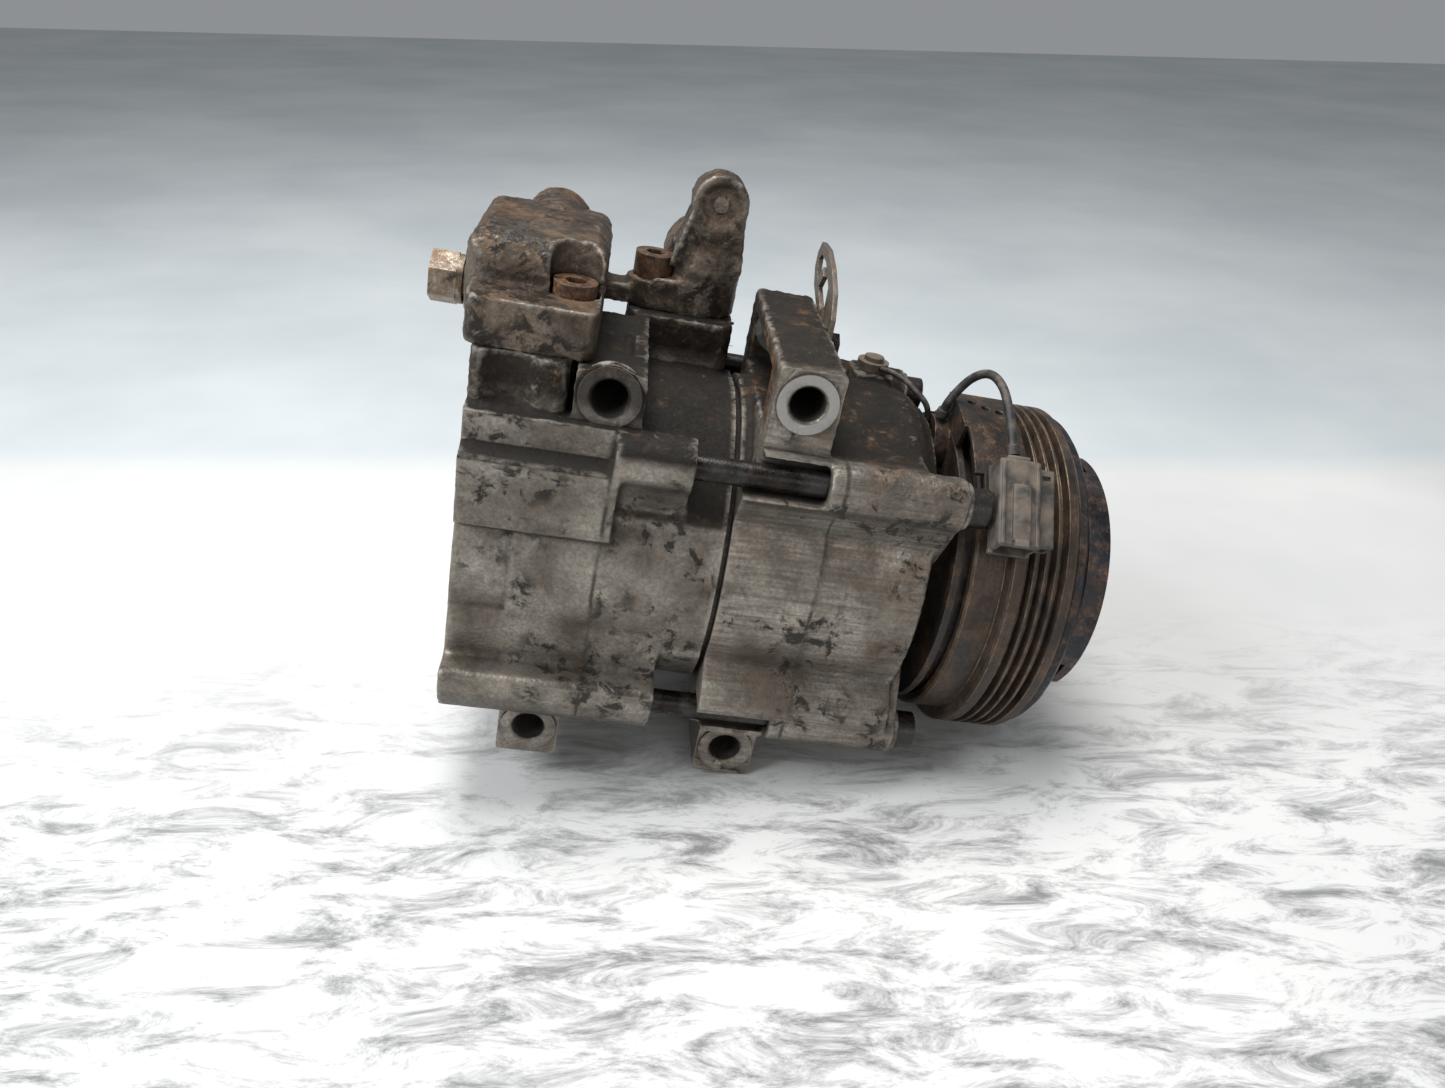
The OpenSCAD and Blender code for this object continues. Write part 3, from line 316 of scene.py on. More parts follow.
def cast_aluminium(name, light, dark, film_height, greasy, brushed=0.0, film=0.5, faces=(), steps=(),
                   film_y=-0.10, rusty=0.5):
    """Oily cast aluminium: brown road film above film_height, rubbed bright on its outer edges, with
    painted highlights on those edges and painted shade underneath, in corners, hollows and bores.

    faces lists the milled lug faces as (hole place, how bright the milled face is painted): less on a
    greasy face, none on the low faces, which are left dark as painted shade.
    steps lists x places where dirt gathers. The film is thick only behind film_y, and rusty sets how much
    of it is orange.
    """
    grease_and_shade_black = rgb(0.014, 0.012, 0.010)
    hollow_shade_color = rgb(0.020, 0.016, 0.013)
    rubbed_highlight_bright = rgb(0.37, 0.335, 0.29)
    milled_bright = rgb(0.36, 0.35, 0.335)
    bore_shade_black = rgb(0.010, 0.009, 0.008)
    dark_film, orange_film = rgb(0.021, 0.015, 0.011), rgb(0.145, 0.082, 0.043)
    milled_radius, bore_shadow_radius = 0.0093, 0.0055
    made, tree, shader, place, normal = new_material(name)
    part = add_node(tree, "SeparateXYZ", {0: place}).outputs
    facing = add_node(tree, "SeparateXYZ", {0: normal}).outputs
    grain = use_group(tree, cast_grain, {"Place": place, "Size": 0.0011})
    marks_place = add_node(tree, "Mapping", {"Vector": place, "Scale": (0.06, 1.0, 1.0)}).outputs[0]
    marks = noise_at(tree, marks_place, 0.0012, 4.0)
    cloud = noise_at(tree, place, 0.022, 5.0, 0.6, 0.3)
    metal = mix_color(tree, spread(tree, cloud, 0.32, 0.66), dark, light)
    metal = mix_color(tree, times(tree, grain["Speckle"], 0.45), metal, dark)
    metal = mix_color(tree, times(tree, spread(tree, marks, 0.4, 0.65), brushed), metal, dark)
    # brown film of road dirt and old oil, orange in places, thick above film_height
    up = spread(tree, facing["Z"], 0.0, 0.8)
    ragged = calc(tree, "ADD", part["Z"], times(tree, noise_at(tree, place, 0.012, 6.0, 0.7), 0.016))
    high = spread(tree, ragged, film_height + 0.002, film_height + 0.012)
    tall = most(tree, spread(tree, facing["Z"], 0.10, 0.45), spread(tree, part["Z"], 0.050, 0.058))
    behind = spread(tree, part["Y"], film_y - 0.003, film_y + 0.003)
    high = times(tree, high, tall, behind)
    film_mask = use_group(tree, stains, {"Place": place, "Size": 0.012, "Cover": film,
                                         "Softness": 0.12})["Mask"]
    low_film = times(tree, film_mask, spread(tree, up, 0.0, 1.0, 0.30, 0.80))
    spots = spread(tree, noise_at(tree, place, 0.004, 8.0, 0.75), 0.30, 0.52)
    high_film = times(tree, high, calc(tree, "ADD", times(tree, spots, 0.16), 0.84))
    film_all = most(tree, low_film, high_film)
    orange_from = 0.68 - rusty * 0.36
    orange = spread(tree, noise_at(tree, place, 0.014, 8.0, 0.75), orange_from, orange_from + 0.14)
    brown = mix_color(tree, orange, dark_film, orange_film)
    # caked black grease on the saddle between the lugs, smears lower down, and painted shade on the faces
    # that look down
    caked = use_group(tree, stains, {"Place": place, "Size": 0.009, "Cover": 0.80,
                                     "Softness": 0.08})["Mask"]
    caked = times(tree, caked, high, spread(tree, up, 0.1, 0.6))
    smears = use_group(tree, stains, {"Place": place, "Size": 0.007, "Cover": greasy,
                                      "Softness": 0.030})["Mask"]
    smears = times(tree, smears, spread(tree, noise_at(tree, place, 0.026, 2.0), 0.46, 0.56))
    # painted shade: faces that look down are darkened as if in shade
    underside_shade = times(tree, spread(tree, facing["Z"], -0.25, -0.80), 0.90)
    # painted shade in inner corners, from ambient occlusion, and a broken line of dirt along each step in
    # the casting
    # painted shade: the ambient occlusion darkens the corners
    open_air = add_node(tree, "AmbientOcclusion", {"Distance": 0.009}, samples=4).outputs["AO"]
    corner_shade = times(tree, spread(tree, open_air, 0.62, 0.25), spread(tree, cloud, 0.30, 0.55, 0.6, 1.0))
    # grease holds the real grease and the painted shade together; it darkens the colour, dulls the metal
    # and raises the bump
    grease = most(tree, caked, smears, underside_shade, corner_shade)
    half_line, line_fade = 0.0006, 0.0004
    for step_x in steps:
        wander = times(tree, calc(tree, "SUBTRACT", cloud, 0.5), 0.003)
        line = between(tree, calc(tree, "ADD", part["X"], wander), step_x - half_line,
                       step_x + half_line, line_fade)
        gaps = spread(tree, noise_at(tree, place, 0.011, 4.0), 0.40, 0.55, 0.2, 0.9)
        grease = most(tree, grease, times(tree, line, gaps))
    color = mix_color(tree, film_all, metal, brown)
    # the grease and the painted shade are both painted in one near-black colour
    color = mix_color(tree, times(tree, grease, 0.92), color, grease_and_shade_black)
    # painted shade in the hollows, and outer edges rubbed bright by handling and painted with highlights,
    # but not on milled faces
    milled = [(use_group(tree, round_spot, {"Place": place, "Center": tuple(hole),
                                            "Radius": milled_radius})["Mask"], cleanness_and_light)
              for hole, cleanness_and_light in faces]
    forward = spread(tree, facing["Y"], -0.85, -0.95)
    rough_cast = times(tree, 1.0, *(calc(tree, "SUBTRACT", 1.0, spot) for spot, _ in milled))
    turn = add_node(tree, "NewGeometry").outputs["Pointiness"]
    # painted shade: concave hollows are darkened
    hollow_shade = times(tree, spread(tree, turn, 0.494, 0.460), 0.8, rough_cast)
    color = mix_color(tree, hollow_shade, color, hollow_shade_color)
    # outer edges painted brighter: partly rubbed metal, partly painted highlight
    rubbed_and_highlight = times(tree, spread(tree, turn, 0.511, 0.556),
                   spread(tree, noise_at(tree, place, 0.006, 5.0, 0.7), 0.40, 0.56, 0.0, 0.62))
    color = mix_color(tree, times(tree, rubbed_and_highlight, rough_cast), color, rubbed_highlight_bright)
    dirt = most(tree, grease, times(tree, film_all, 0.9))
    # milled faces painted bright; the low faces get none of it and keep the dark cast colour as painted
    # shade
    for spot, cleanness_and_light in milled:
        clean = times(tree, spot, forward, spread(tree, cloud, 0.30, 0.46, cleanness_and_light * 0.4, cleanness_and_light))
        color = mix_color(tree, clean, color, milled_bright)
        dirt = times(tree, dirt, calc(tree, "SUBTRACT", 1.0, clean))
    # painted shade: the walls of each bore are painted near black
    for hole, _ in faces:
        bore_shade = use_group(tree, round_spot, {"Place": place, "Center": tuple(hole),
                                            "Radius": bore_shadow_radius})["Mask"]
        color = mix_color(tree, times(tree, bore_shade, 0.95), color, bore_shade_black)
        dirt = most(tree, dirt, bore_shade)
    rough = spread(tree, grain["Speckle"], 0.0, 1.0, 0.38, 0.56)
    rough = calc(tree, "ADD", rough, times(tree, high, 0.26))
    height = calc(tree, "ADD", grain["Height"], times(tree, grease, 0.8))
    height = calc(tree, "ADD", height, times(tree, spots, high, 0.8))
    bump = add_node(tree, "Bump", {"Strength": 0.45, "Distance": 0.0004, "Height": height})
    feed(tree, shader, {"Specular IOR Level": 0.22, "Base Color": color,
                        "Metallic": spread(tree, dirt, 0.0, 1.0, 0.82, 0.05),
                        "Roughness": calc(tree, "SUBTRACT", rough, times(tree, smears, 0.12)),
                        "Normal": bump.outputs[0]})
    return made


def worn_metal(name, light, dark, rust=0.35, grease=0.25, edge=0.4, edge_color=rgb(0.42, 0.38, 0.33),
               rust_color=rgb(0.165, 0.078, 0.036), rough=(0.35, 0.62), turned=0.0, metallic=0.85,
               size=0.009):
    """Bare or plated metal with tool marks, rust, grease and rubbed edges."""
    made, tree, shader, place, _ = new_material(name)
    marks_place = use_group(tree, round_axis, {"Place": place, "Stretch": 30.0})["Place"]
    marks = spread(tree, noise_at(tree, marks_place, 0.0010, 4.0), 0.36, 0.64)
    grain = use_group(tree, cast_grain, {"Place": place, "Size": 0.0007})
    cloud = spread(tree, noise_at(tree, place, size, 6.0, 0.65, 0.3), 0.34, 0.64)
    metal = mix_color(tree, cloud, dark, light)
    metal = mix_color(tree, times(tree, marks, turned), metal, dark)
    metal = mix_color(tree, times(tree, grain["Speckle"], 0.35), metal, dark)
    rusty = use_group(tree, stains, {"Place": place, "Size": size * 0.8, "Cover": rust,
                                     "Softness": 0.10})["Mask"]
    freckles = spread(tree, noise_at(tree, place, 0.0016, 8.0, 0.75), 0.40, 0.62)
    rusty = times(tree, rusty, spread(tree, freckles, 0.0, 1.0, 0.35, 1.0))
    old_rust, black_grease = rgb(0.060, 0.032, 0.020), rgb(0.013, 0.011, 0.010)
    hue = mix_color(tree, freckles, old_rust, rust_color)
    color = mix_color(tree, rusty, metal, hue)
    worn = use_group(tree, worn_edges, {"Width": 0.0005})
    chipped = spread(tree, noise_at(tree, place, 0.003, 6.0, 0.7), 0.36, 0.56)
    color = mix_color(tree, times(tree, worn["Mask"], chipped, edge), color, edge_color)
    smeared = use_group(tree, stains, {"Place": place, "Size": size * 1.3, "Cover": grease,
                                       "Softness": 0.06})["Mask"]
    color = mix_color(tree, times(tree, smeared, 0.88), color, black_grease)
    dull = most(tree, rusty, smeared)
    height = calc(tree, "ADD", grain["Height"], times(tree, rusty, freckles))
    height = calc(tree, "ADD", height, times(tree, marks, turned))
    bump = add_node(tree, "Bump", {"Strength": 0.35, "Distance": 0.0002, "Height": height,
                                   "Normal": worn["Normal"]})
    feed(tree, shader, {"Base Color": color, "Metallic": spread(tree, dull, 0.0, 1.0, metallic, 0.08),
                        "Roughness": spread(tree, times(tree, grain["Speckle"], cloud), 0.0, 0.7, *rough),
                        "Normal": bump.outputs[0]})
    return made


def clad(material, *nodes):
    """Puts one material on each CAD node named."""
    for node in nodes:
        mesh = frame["nodes"][node].data
        mesh.materials.clear()
        mesh.materials.append(material)


def copied(node):
    """The CAD node's mesh, its loose triangles joined, as a bmesh to build on."""
    bm = bmesh.new()
    bm.from_mesh(frame["nodes"][node].data)
    bmesh.ops.remove_doubles(bm, verts=bm.verts, dist=1e-6)
    return bm


def add_bar(bm, start, end, radius, end_radius=None, segments=64):
    """A closed round bar from start to end; a second radius makes it a cone."""
    start, end = Vector(start), Vector(end)
    aim = (end - start).to_track_quat("Z", "Y").to_matrix().to_4x4()
    bmesh.ops.create_cone(bm, cap_ends=True, segments=segments, radius1=radius,
                          radius2=radius if end_radius is None else end_radius,
                          depth=(end - start).length,
                          matrix=Matrix.Translation((start + end) / 2) @ aim)


def add_block(bm, low, high, edge=0.0):
    """A closed block between two corners, its edges rounded when edge is given."""
    low, high = Vector(low), Vector(high)
    size = high - low
    shape = Matrix.Translation((low + high) / 2) @ Matrix.Diagonal((*size, 1.0))
    corners = bmesh.ops.create_cube(bm, size=1.0, matrix=shape)["verts"]
    if edge:
        edges = list({e for v in corners for e in v.link_edges})
        bmesh.ops.bevel(bm, geom=edges, offset=edge, affect="EDGES", segments=3, profile=0.5,
                        material=-1)


def add_sector(bm, start_x, end_x, inner, outer, low_angle, high_angle):
    """Part of a ring round the shaft axis; angles run from -Y up towards +Z, in degrees."""
    turn = Matrix.Rotation(math.radians(-low_angle), 4, "X")
    places = [(start_x, inner), (end_x, inner), (end_x, outer), (start_x, outer)]
    corners = [bm.verts.new(turn @ Vector((x, -r, 0.0))) for x, r in places]
    face = bm.faces.new(corners)
    bmesh.ops.spin(bm, geom=[face], cent=(0, 0, 0), axis=(1, 0, 0), dvec=(0, 0, 0),
                   angle=math.radians(low_angle - high_angle), steps=24, use_duplicate=False)
    bmesh.ops.recalc_face_normals(bm, faces=bm.faces)


def applied(piece):
    """Bakes the piece's modifiers into its mesh."""
    graph = bpy.context.evaluated_depsgraph_get()
    mesh = bpy.data.meshes.new_from_object(piece.evaluated_get(graph))
    piece.modifiers.clear()
    piece.data = mesh
    return piece


def rounded_casting(name, bm, grid, passes):
    """One closed skin over everything in bm, its edges rounded as a casting's are."""
    piece = new_object(name, mesh_from(name, bm))
    skin = piece.modifiers.new("skin", "REMESH")
    skin.mode = "VOXEL"
    skin.voxel_size = grid
    soften = piece.modifiers.new("soften", "SMOOTH")
    soften.factor = 0.5
    soften.iterations = passes
    return applied(piece)


def machined(piece, bm, operation="DIFFERENCE"):
    """Cuts the closed shapes in bm out of the piece, or joins them to it."""
    tool = new_object("tool", mesh_from("tool", bm))
    joint = piece.modifiers.new("machined", "BOOLEAN")
    joint.operation = operation
    joint.object = tool
    joint.solver = "MANIFOLD"
    applied(piece)
    bpy.data.objects.remove(tool)


def sharpened(piece, angle=50):
    """Smooth shading, except where faces meet at more than the angle in degrees."""
    piece.data.shade_smooth()
    piece.data.set_sharp_from_angle(angle=math.radians(angle))


def finish_piece(piece, material, body):
    """Material and moving body of one finished piece."""
    piece.data.materials.clear()
    piece.data.materials.append(material)
    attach(piece, body)


def roughened(piece, how_much):
    """Moves each point along its normal by how_much(place), in metres."""
    bm = bmesh.new()
    bm.from_mesh(piece.data)
    bm.normal_update()
    for vert in bm.verts:
        vert.co += vert.normal * how_much(vert.co)
    bm.to_mesh(piece.data)
    bm.free()


def squared_end(piece, start_x, end_x):
    """Cuts the piece square at start_x and carries its outline on to end_x: a sharp machined end."""
    bm = bmesh.new()
    bm.from_mesh(piece.data)
    away = 1.0 if end_x > start_x else -1.0
    bmesh.ops.bisect_plane(bm, geom=bm.verts[:] + bm.edges[:] + bm.faces[:], dist=1e-7,
                           plane_co=(start_x, 0, 0), plane_no=(away, 0, 0), clear_outer=True)
    rim = [edge for edge in bm.edges if edge.is_boundary]
    grown = bmesh.ops.extrude_edge_only(bm, edges=rim)["geom"]
    new_rim = [item for item in grown if isinstance(item, bmesh.types.BMVert)]
    bmesh.ops.translate(bm, verts=new_rim, vec=(end_x - start_x, 0, 0))
    bmesh.ops.holes_fill(bm, edges=[edge for edge in bm.edges if edge.is_boundary], sides=0)
    bmesh.ops.recalc_face_normals(bm, faces=bm.faces)
    bm.to_mesh(piece.data)
    bm.free()


def sand_cast(place):
    """Depth of the casting's skin at a place: fine sand grain, and caked dirt on its top."""
    grain = noise.noise(place * 900) * 0.00005 + noise.noise(place * 160) * 0.00012
    on_top = max(0.0, min(1.0, (place.z - 0.046) / 0.006))
    crumbs = max(0.0, noise.noise(place * 420)) + 0.5 * max(0.0, noise.noise(place * 1100))
    return grain + on_top * crumbs * 0.0005


def lug_stock(bm, hole, low_z, high_z, back_y):
    """Rough lug, standing proud of its machined face, with no hole in it yet."""
    half, allowance, depth, core_radius = 0.0098, 0.003, 0.012, 0.0060
    add_block(bm, (hole[0] - half, lug_face_y - allowance, low_z),
              (hole[0] + half, lug_face_y + depth, high_z))
    add_bar(bm, (hole[0], lug_face_y + 0.001, hole[2]), (hole[0], back_y, hole[2]), core_radius)


def finish_lug(piece, hole, low_z, high_z, back_y):
    """Mills the lug's face, leaves a round spot face proud of it, and drills the mounting hole."""
    mill_half, mill_reach, proud = 0.014, 0.012, 0.0007
    mill = bmesh.new()
    add_block(mill, (hole[0] - mill_half, lug_face_y - mill_reach, low_z),
              (hole[0] + mill_half, lug_face_y + proud, high_z))
    machined(piece, mill)
    spot_radius, spot_root_radius, spot_root_y = 0.0092, 0.0096, lug_face_y + 0.004
    spot = bmesh.new()
    add_bar(spot, (hole[0], lug_face_y, hole[2]), (hole[0], spot_root_y, hole[2]),
            spot_radius, spot_root_radius)
    machined(piece, spot, "UNION")
    bore_radius, rim_radius, rim_end_radius = 0.00525, 0.0063, 0.00515
    bore_cut = (lug_face_y - 0.01, back_y, bore_radius, bore_radius)
    rim_cut = (lug_face_y - 0.0001, lug_face_y + 0.0010, rim_radius, rim_end_radius)
    for start_y, end_y, start_radius, end_radius in (bore_cut, rim_cut):
        drill = bmesh.new()
        add_bar(drill, (hole[0], start_y, hole[2]), (hole[0], end_y, hole[2]), start_radius, end_radius)
        machined(piece, drill)


lug_face_y = mounts["lug_face_front_top"]["pos_m"][1]
lug_length = 0.081
lug_back_y = lug_face_y + lug_length
lug_lap = 0.001
barrel_radius = 0.0514
seam_rear_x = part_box("rear_housing")[1].x
rear_top = mounts["lug_rear_top"]["pos_m"]
rear_low = mounts["lug_rear_low"]["pos_m"]
stock = copied("rear_housing")
add_bar(stock, (seam_rear_x - 0.012, 0, 0), (seam_rear_x, 0, 0), barrel_radius)
lug_stock(stock, rear_top, 0.0500, 0.0665, 0.011)
lug_stock(stock, rear_low, -0.0720, -0.0500, lug_back_y - lug_lap)
# pads on the barrel that carry the bolt bosses on to the seam, and the boss of the upper bolt
pad_x = -0.1375
for side in (1, -1):
    add_sector(stock, pad_x, seam_rear_x, 0.045, 0.0536, *sorted((side * 25, side * 44)))
add_bar(stock, (-0.136, -0.0475, 0.043), (-0.115, -0.0475, 0.043), 0.0080)
rear_casting = rounded_casting("rear_casting", stock, grid=0.0010, passes=5)
roughened(rear_casting, sand_cast)
squared_end(rear_casting, seam_rear_x - 0.0016, seam_rear_x)
finish_lug(rear_casting, rear_top, 0.0512, 0.0700, 0.0124)
finish_lug(rear_casting, rear_low, -0.0745, -0.0520, lug_back_y + lug_lap)
sharpened(rear_casting)
rear_skin = cast_aluminium(
    "rear_casting", rgb(0.42, 0.385, 0.335), rgb(0.120, 0.100, 0.082), film_height=0.022, greasy=0.38,
    faces=((rear_top, 0.10), (rear_low, 0.0)), steps=(pad_x,), rusty=0.42)
finish_piece(rear_casting, rear_skin, "housing")
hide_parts("rear_housing")

# ------------------------------------------------------------------ front housing
# The front half is the same alloy, turned beside the seam, with ledges that clear the bolts.
# Its two lugs and the nose that carries the pulley belong to the same casting.
seam_gap = 0.0012
spigot_radius = 0.0499
seam_front_x = seam_rear_x + seam_gap
front_top = mounts["lug_front_top"]["pos_m"]
front_low = mounts["lug_front_low"]["pos_m"]
stock = copied("front_housing")
add_bar(stock, (seam_front_x - 0.004, 0, 0), (seam_front_x + 0.012, 0, 0), spigot_radius)
lug_stock(stock, front_top, 0.0500, 0.0765, lug_back_y - lug_lap)
lug_stock(stock, front_low, -0.0720, -0.0500, lug_back_y - lug_lap)
front_casting = rounded_casting("front_casting", stock, grid=0.0010, passes=4)
roughened(front_casting, sand_cast)
squared_end(front_casting, seam_front_x + 0.0022, seam_front_x + 0.0006)
finish_lug(front_casting, front_top, 0.0512, 0.0800, lug_back_y + lug_lap)
finish_lug(front_casting, front_low, -0.0745, -0.0520, lug_back_y + lug_lap)
# the spigot that enters the rear half shows at the bottom of the seam
spigot = bmesh.new()
add_bar(spigot, (seam_front_x - 0.004, 0, 0), (seam_front_x + 0.002, 0, 0), spigot_radius)
machined(front_casting, spigot, "UNION")
sharpened(front_casting)
ridge_x = -0.0695
front_skin = cast_aluminium(
    "front_casting", rgb(0.48, 0.445, 0.39), rgb(0.130, 0.109, 0.090), film_height=0.024, greasy=0.36,
    brushed=0.7, faces=((front_top, 0.95), (front_low, 0.0)), steps=(ridge_x,), film_y=-0.042,
    rusty=0.62)
finish_piece(front_casting, front_skin, "housing")
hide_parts("front_housing")

# ------------------------------------------------------------------ through bolts
# Four long M8 steel bolts, black with oil, clamp the two housings together from the front.
# Each head has a plain steel washer under it.
oily_steel = worn_metal("oily_steel", rgb(0.040, 0.034, 0.030), rgb(0.012, 0.010, 0.009), rust=0.2,
                        grease=0.5, edge=0.25, rough=(0.22, 0.5))
washer_steel = worn_metal("washer_steel", rgb(0.38, 0.36, 0.33), rgb(0.14, 0.12, 0.10), rust=0.3,
                          grease=0.3)
clad(oily_steel, "through_bolts")
clad(washer_steel, "bolt_washers")

# ------------------------------------------------------------------ manifold
# The gas manifold is one cast block: a suction box, a bridge, and an elbow with a bolt ear.
# Two rusty socket-head screws hold it down, and a brass relief valve sticks out at the rear.
stock = copied("manifold")
manifold_casting = rounded_casting("manifold_casting", stock, grid=0.0008, passes=6)
roughened(manifold_casting, sand_cast)
# round ejector mark in the ear's shallow dish
ear = mounts["discharge_stud_hole"]["pos_m"]
mark_root_y, mark_top_y = 0.0226, 0.0211
ear_mark = bmesh.new()
add_bar(ear_mark, (ear[0], mark_root_y, ear[2]), (ear[0], mark_top_y, ear[2]), 0.0029, 0.0024)
machined(manifold_casting, ear_mark, "UNION")
sharpened(manifold_casting)
# film_height lies above the whole block, so its film comes only from the stains
manifold_skin = cast_aluminium(
    "manifold_casting", rgb(0.29, 0.245, 0.20), rgb(0.050, 0.037, 0.027), film_height=0.30,
    greasy=0.44, film=0.98, rusty=0.62)
finish_piece(manifold_casting, manifold_skin, "housing")
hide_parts("manifold")
screw_rust = worn_metal("screw_rust", rgb(0.20, 0.14, 0.095), rgb(0.070, 0.042, 0.028), rust=0.7,
                        grease=0.3, edge=0.6, edge_color=rgb(0.34, 0.24, 0.16),
                        rust_color=rgb(0.24, 0.11, 0.05), size=0.005)
clad(screw_rust, "manifold_screws")
valve_brass = worn_metal("valve_brass", rgb(0.50, 0.46, 0.38), rgb(0.12, 0.08, 0.05), rust=0.75,
                         grease=0.2, edge=0.6, edge_color=rgb(0.66, 0.62, 0.54),
                         rust_color=rgb(0.20, 0.11, 0.05), size=0.005)
clad(valve_brass, "relief_valve")

# ------------------------------------------------------------------ pulley
# The steel pulley has four turned belt grooves and a smooth band behind them.
# It is brown with rust, its crests rubbed gold-brown by the belt.
pulley_rust = worn_metal("pulley_rust", rgb(0.120, 0.088, 0.064), rgb(0.030, 0.023, 0.019), rust=0.4,
                         grease=0.32, edge=0.85, edge_color=rgb(0.36, 0.26, 0.17),
                         rust_color=rgb(0.120, 0.066, 0.036), turned=0.55, metallic=0.55, size=0.014)
clad(pulley_rust, "pulley")

# ------------------------------------------------------------------ clutch
# The pressed steel hub holds the armature plate by three riveted leaf springs.
# Both are dark grey with blue-black plating, rusting at the edges; the rivets are brown with rust.
plate_steel = worn_metal("plate_steel", rgb(0.060, 0.066, 0.078), rgb(0.020, 0.021, 0.025), rust=0.42,
                         grease=0.3, edge=0.5, edge_color=rgb(0.20, 0.14, 0.10), turned=0.3)
rivet_rust = worn_metal("rivet_rust", rgb(0.15, 0.10, 0.07), rgb(0.05, 0.032, 0.022), rust=0.7,
                        edge=0.5, size=0.004)
spring_steel = worn_metal("spring_steel", rgb(0.075, 0.072, 0.072), rgb(0.028, 0.026, 0.025), rust=0.35)
clad(plate_steel, "clutch_hub", "armature_plate")
clad(rivet_rust, "hub_rivets", "armature_rivets")
clad(spring_steel, "leaf_springs")

# ------------------------------------------------------------------ coil
# The clutch coil is varnished copper in a soot-black steel shell behind the pulley.
# A strap holds its moulded two-way plug; short rubber leads run from the coil and from a switch.
mm = 0.001
shell_steel = worn_metal("shell_steel", rgb(0.050, 0.040, 0.033), rgb(0.014, 0.012, 0.011), rust=0.45,
                         grease=0.5, edge=0.4, turned=0.4, metallic=0.5)
copper = worn_metal("copper", rgb(0.50, 0.24, 0.13), rgb(0.24, 0.10, 0.05), rust=0.1, grease=0.15,
                    turned=0.5)
clad(shell_steel, "coil_shell", "connector_bracket")
clad(copper, "coil_winding", "connector_terminals")


def dusty_plastic(name, light, dark, dust=0.45, size=0.006):
    """Moulded plastic or rubber with scuffs and brown dust."""
    dust_brown, scuffed = rgb(0.16, 0.125, 0.095), rgb(0.22, 0.19, 0.16)
    made, tree, shader, place, normal = new_material(name)
    facing = add_node(tree, "SeparateXYZ", {0: normal}).outputs
    grain = use_group(tree, cast_grain, {"Place": place, "Size": 0.0005})
    cloud = spread(tree, noise_at(tree, place, size, 6.0, 0.65), 0.34, 0.66)
    dusty = use_group(tree, stains, {"Place": place, "Size": size, "Cover": dust,
                                     "Softness": 0.12})["Mask"]
    dusty = times(tree, dusty, spread(tree, facing["Z"], -0.6, 0.8, 0.35, 0.9))
    worn = use_group(tree, worn_edges, {"Width": 0.0004})
    color = mix_color(tree, cloud, dark, light)
    color = mix_color(tree, dusty, color, dust_brown)
    color = mix_color(tree, times(tree, worn["Mask"], 0.35), color, scuffed)
    height = calc(tree, "ADD", grain["Height"], times(tree, dusty, 0.6))
    bump = add_node(tree, "Bump", {"Strength": 0.25, "Distance": 0.0002, "Normal": worn["Normal"],
                                   "Height": height})
    feed(tree, shader, {"Base Color": color, "Normal": bump.outputs[0],
                        "Roughness": spread(tree, dusty, 0.0, 1.0, 0.55, 0.85)})
    return made


def swept_tube(name, points, radius, sides=16, steps=8):
    """A smooth round lead through the points, closed at both ends; points and radius are in mm."""
    path = []
    for index in range(len(points) - 1):
        a, b, c, d = (Vector(points[max(0, min(len(points) - 1, index + k))]) for k in (-1, 0, 1, 2))
        for step in range(steps):
            t = step / steps
            path.append(0.5 * (2 * b + (c - a) * t + (2 * a - 5 * b + 4 * c - d) * t * t
                               + (3 * b - a - 3 * c + d) * t * t * t) * mm)
    path.append(Vector(points[-1]) * mm)
    bm = bmesh.new()
    rings = []
    across = Vector((1, 0, 0))
    for index, spot in enumerate(path):
        along = (path[min(index + 1, len(path) - 1)] - path[max(index - 1, 0)]).normalized()
        across = (across - along * across.dot(along)).normalized()
        over = along.cross(across)
        rings.append([bm.verts.new(spot + radius * mm * (across * math.cos(turn) + over * math.sin(turn)))
                      for turn in (2 * math.pi * k / sides for k in range(sides))])
    for first, second in zip(rings, rings[1:]):
        for k in range(sides):
            bm.faces.new((first[k], first[(k + 1) % sides], second[(k + 1) % sides], second[k]))
    bm.faces.new(rings[0][::-1])
    bm.faces.new(rings[-1])
    bmesh.ops.recalc_face_normals(bm, faces=bm.faces)
    return new_object(name, mesh_from(name, bm))


connector_plastic = dusty_plastic("connector_plastic", rgb(0.085, 0.076, 0.068),
                                  rgb(0.026, 0.023, 0.021))
# the plug housing hangs tilted; its socket opens at the lower end
plug_tilt = Matrix.Rotation(math.radians(-44), 4, "X")
plug_y = -60.8


def plug_block(low, high, edge=0):
    """A block in the plug's own tilted frame, its corners and edge rounding in mm."""
    bm = bmesh.new()
    add_block(bm, Vector(low) * mm, Vector(high) * mm, edge * mm)
    hung = plug_tilt @ Matrix.Translation((0, plug_y * mm, 0))
    bmesh.ops.transform(bm, matrix=hung, verts=bm.verts)
    return bm


plug = new_object("plug", mesh_from("plug", plug_block((-22, -9.4, -14.4), (-8.6, 0, 13.4), 0.9)))
# side lobe, latch, two ribs, latch nose, collar of the leads, rim of the socket
for low, high, edge in (((-9, -7.4, -13), (-3.4, -0.6, 12), 0.7),
                        ((-18, -10.8, -13), (-12.4, -9, 5), 0.45),
                        ((-21.4, -10.1, -14), (-20.2, -9, 12.4), 0.3),
                        ((-10.6, -10.1, -14), (-9.4, -9, 12.4), 0.3),
                        ((-17.4, -11.2, -14.8), (-13, -9.2, -12.6), 0.3),
                        ((-19, -8.2, 13), (-11.6, -1.2, 15), 0.6),
                        ((-22, -2.2, -15), (-8.8, 0, -13.6), 0.3)):
    machined(plug, plug_block(low, high, edge), "UNION")
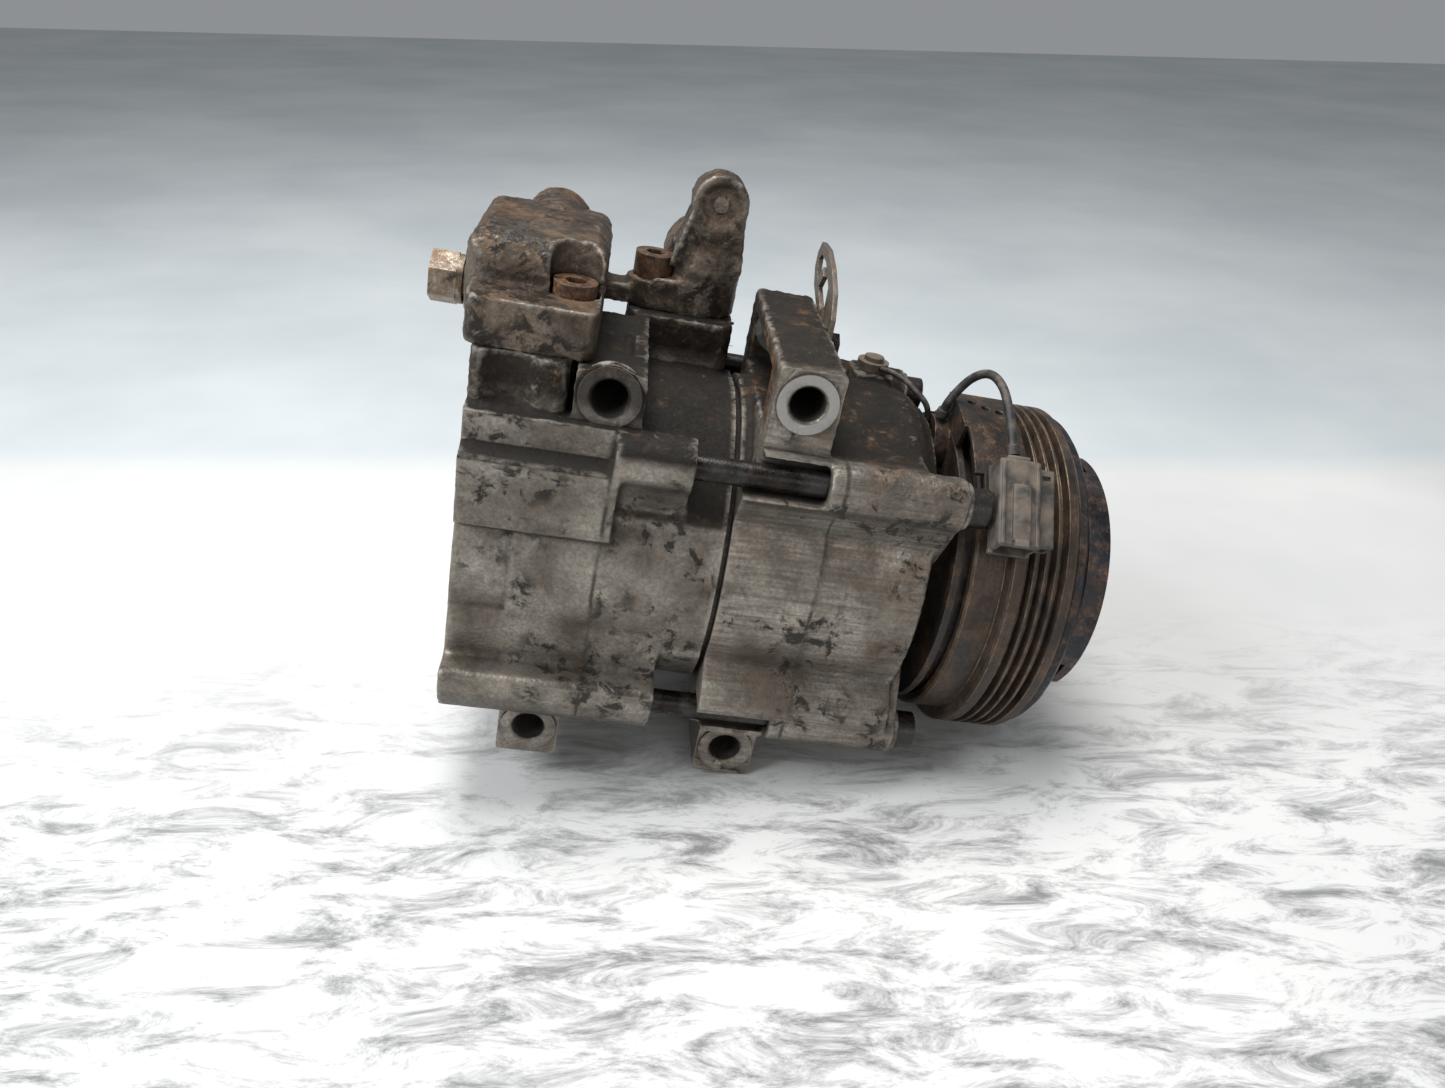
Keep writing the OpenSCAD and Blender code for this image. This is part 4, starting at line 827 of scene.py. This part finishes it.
# the socket, a slot in the side lobe, and a small notch
for low, high in (((-20.6, -8.0, -16), (-10.2, -1.5, 0)), ((-8, -5.8, -14), (-4.8, -2.2, -3)),
                  ((-7.6, -8, 8.4), (-4.8, -6.4, 9.8))):
    machined(plug, plug_block(low, high))
sharpened(plug, 40)
finish_piece(plug, connector_plastic, "housing")
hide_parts("connector")
lead_rubber = dusty_plastic("lead_rubber", rgb(0.030, 0.029, 0.030), rgb(0.014, 0.013, 0.013), 0.3,
                            size=0.004)
# each lead is held at both ends; the routes, in mm, are the CAD's
coil_route = [(-30, -2, 54.2), (-29.5, -3, 59), (-27.5, -3.5, 64), (-25, -5, 69), (-22.5, -8.5, 72.6),
              (-20.5, -13, 73.6), (-19, -19, 72.2), (-18, -25, 68.6), (-16.8, -31, 63), (-16, -36.2, 57.2)]
switch_route = [(-49, 16.4, 60.6), (-46, 12.5, 61.2), (-42.5, 8, 60.8), (-39, 4.2, 59), (-36.2, 1.8, 57),
                (-34.4, 1.4, 54.8), (-33.3, 1.6, 51.8), (-33.1, 2, 49)]
for name, route, radius, cad_name in (("coil_lead_tube", coil_route, 1.45, "coil_lead"),
                                      ("switch_lead_tube", switch_route, 1.0, "switch_lead")):
    tube = swept_tube(name, route, radius)
    finish_piece(tube, lead_rubber, "housing")
    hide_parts(cad_name)
# short rubber sleeves where the coil lead leaves the coil and enters the plug
for name, first, last in (("coil_lead_grommet", coil_route[0], (-29.8, -2.4, 56.6)),
                          ("plug_seal", (-16.4, -34.2, 59.4), coil_route[-1])):
    sleeve = bmesh.new()
    add_bar(sleeve, Vector(first) * mm, Vector(last) * mm, 2.3 * mm, 2.0 * mm, segments=32)
    sleeve = new_object(name, mesh_from(name, sleeve))
    sharpened(sleeve)
    finish_piece(sleeve, lead_rubber, "housing")
switch_case = dusty_plastic("switch_case", rgb(0.17, 0.125, 0.085), rgb(0.055, 0.040, 0.030), 0.6,
                            size=0.005)
clad(switch_case, "thermal_switch")
seal_rubber = dusty_plastic("seal_rubber", rgb(0.022, 0.022, 0.022), rgb(0.010, 0.010, 0.010), 0.15)
clad(seal_rubber, "housing_o_ring", "manifold_gasket", "relief_valve_seal", "shaft_seal",
     "bearing_seals")

# ------------------------------------------------------------------ clip
# A thin clip, stamped from steel sheet, stands on the front upper lug.
# One oily hexagon-head screw holds it.
clip_steel = worn_metal("clip_steel", rgb(0.26, 0.235, 0.20), rgb(0.09, 0.075, 0.06), rust=0.45,
                        grease=0.2, edge=0.5, size=0.006)
clad(clip_steel, "clip_bracket")
clad(oily_steel, "clip_screw")

# ------------------------------------------------------------------ inside
# The pump's parts run in oil, so they are clean: turned aluminium blocks and pistons,
# ground steel for the shaft, plates and bearings, and dark gaskets and valve plates.
bore_alu = worn_metal("bore_alu", rgb(0.60, 0.59, 0.56), rgb(0.40, 0.39, 0.37), rust=0.0, grease=0.08,
                      edge=0.3, edge_color=rgb(0.72, 0.71, 0.69), rough=(0.25, 0.42), turned=0.4,
                      metallic=1.0)
ground_steel = worn_metal("ground_steel", rgb(0.52, 0.52, 0.53), rgb(0.34, 0.34, 0.35), rust=0.03,
                          grease=0.08, edge=0.3, edge_color=rgb(0.66, 0.66, 0.66), rough=(0.15, 0.32),
                          turned=0.3, metallic=1.0)
gasket_steel = worn_metal("gasket_steel", rgb(0.13, 0.13, 0.135), rgb(0.06, 0.06, 0.065), rust=0.05,
                          grease=0.15, edge=0.3, rough=(0.35, 0.55))
clad(bore_alu, "rear_cylinder_block", "front_cylinder_block", "piston_1", "piston_2", "piston_3",
     "piston_4", "piston_5")
clad(gasket_steel, "rear_valve_plate", "front_valve_plate", "rear_head_gasket", "front_head_gasket")
clad(ground_steel, "rear_suction_reed", "front_suction_reed", "rear_discharge_reed", "front_discharge_reed",
     "swash_plate", "piston_shoes", "rear_needle_bearing", "front_needle_bearing", "rear_thrust_bearing",
     "front_thrust_bearing", "shaft", "seal_snap_ring", "coil_snap_ring", "bearing_outer_race",
     "bearing_inner_race", "bearing_balls", "bearing_snap_ring", "pulley_snap_ring", "hub_nut", "hub_shims")
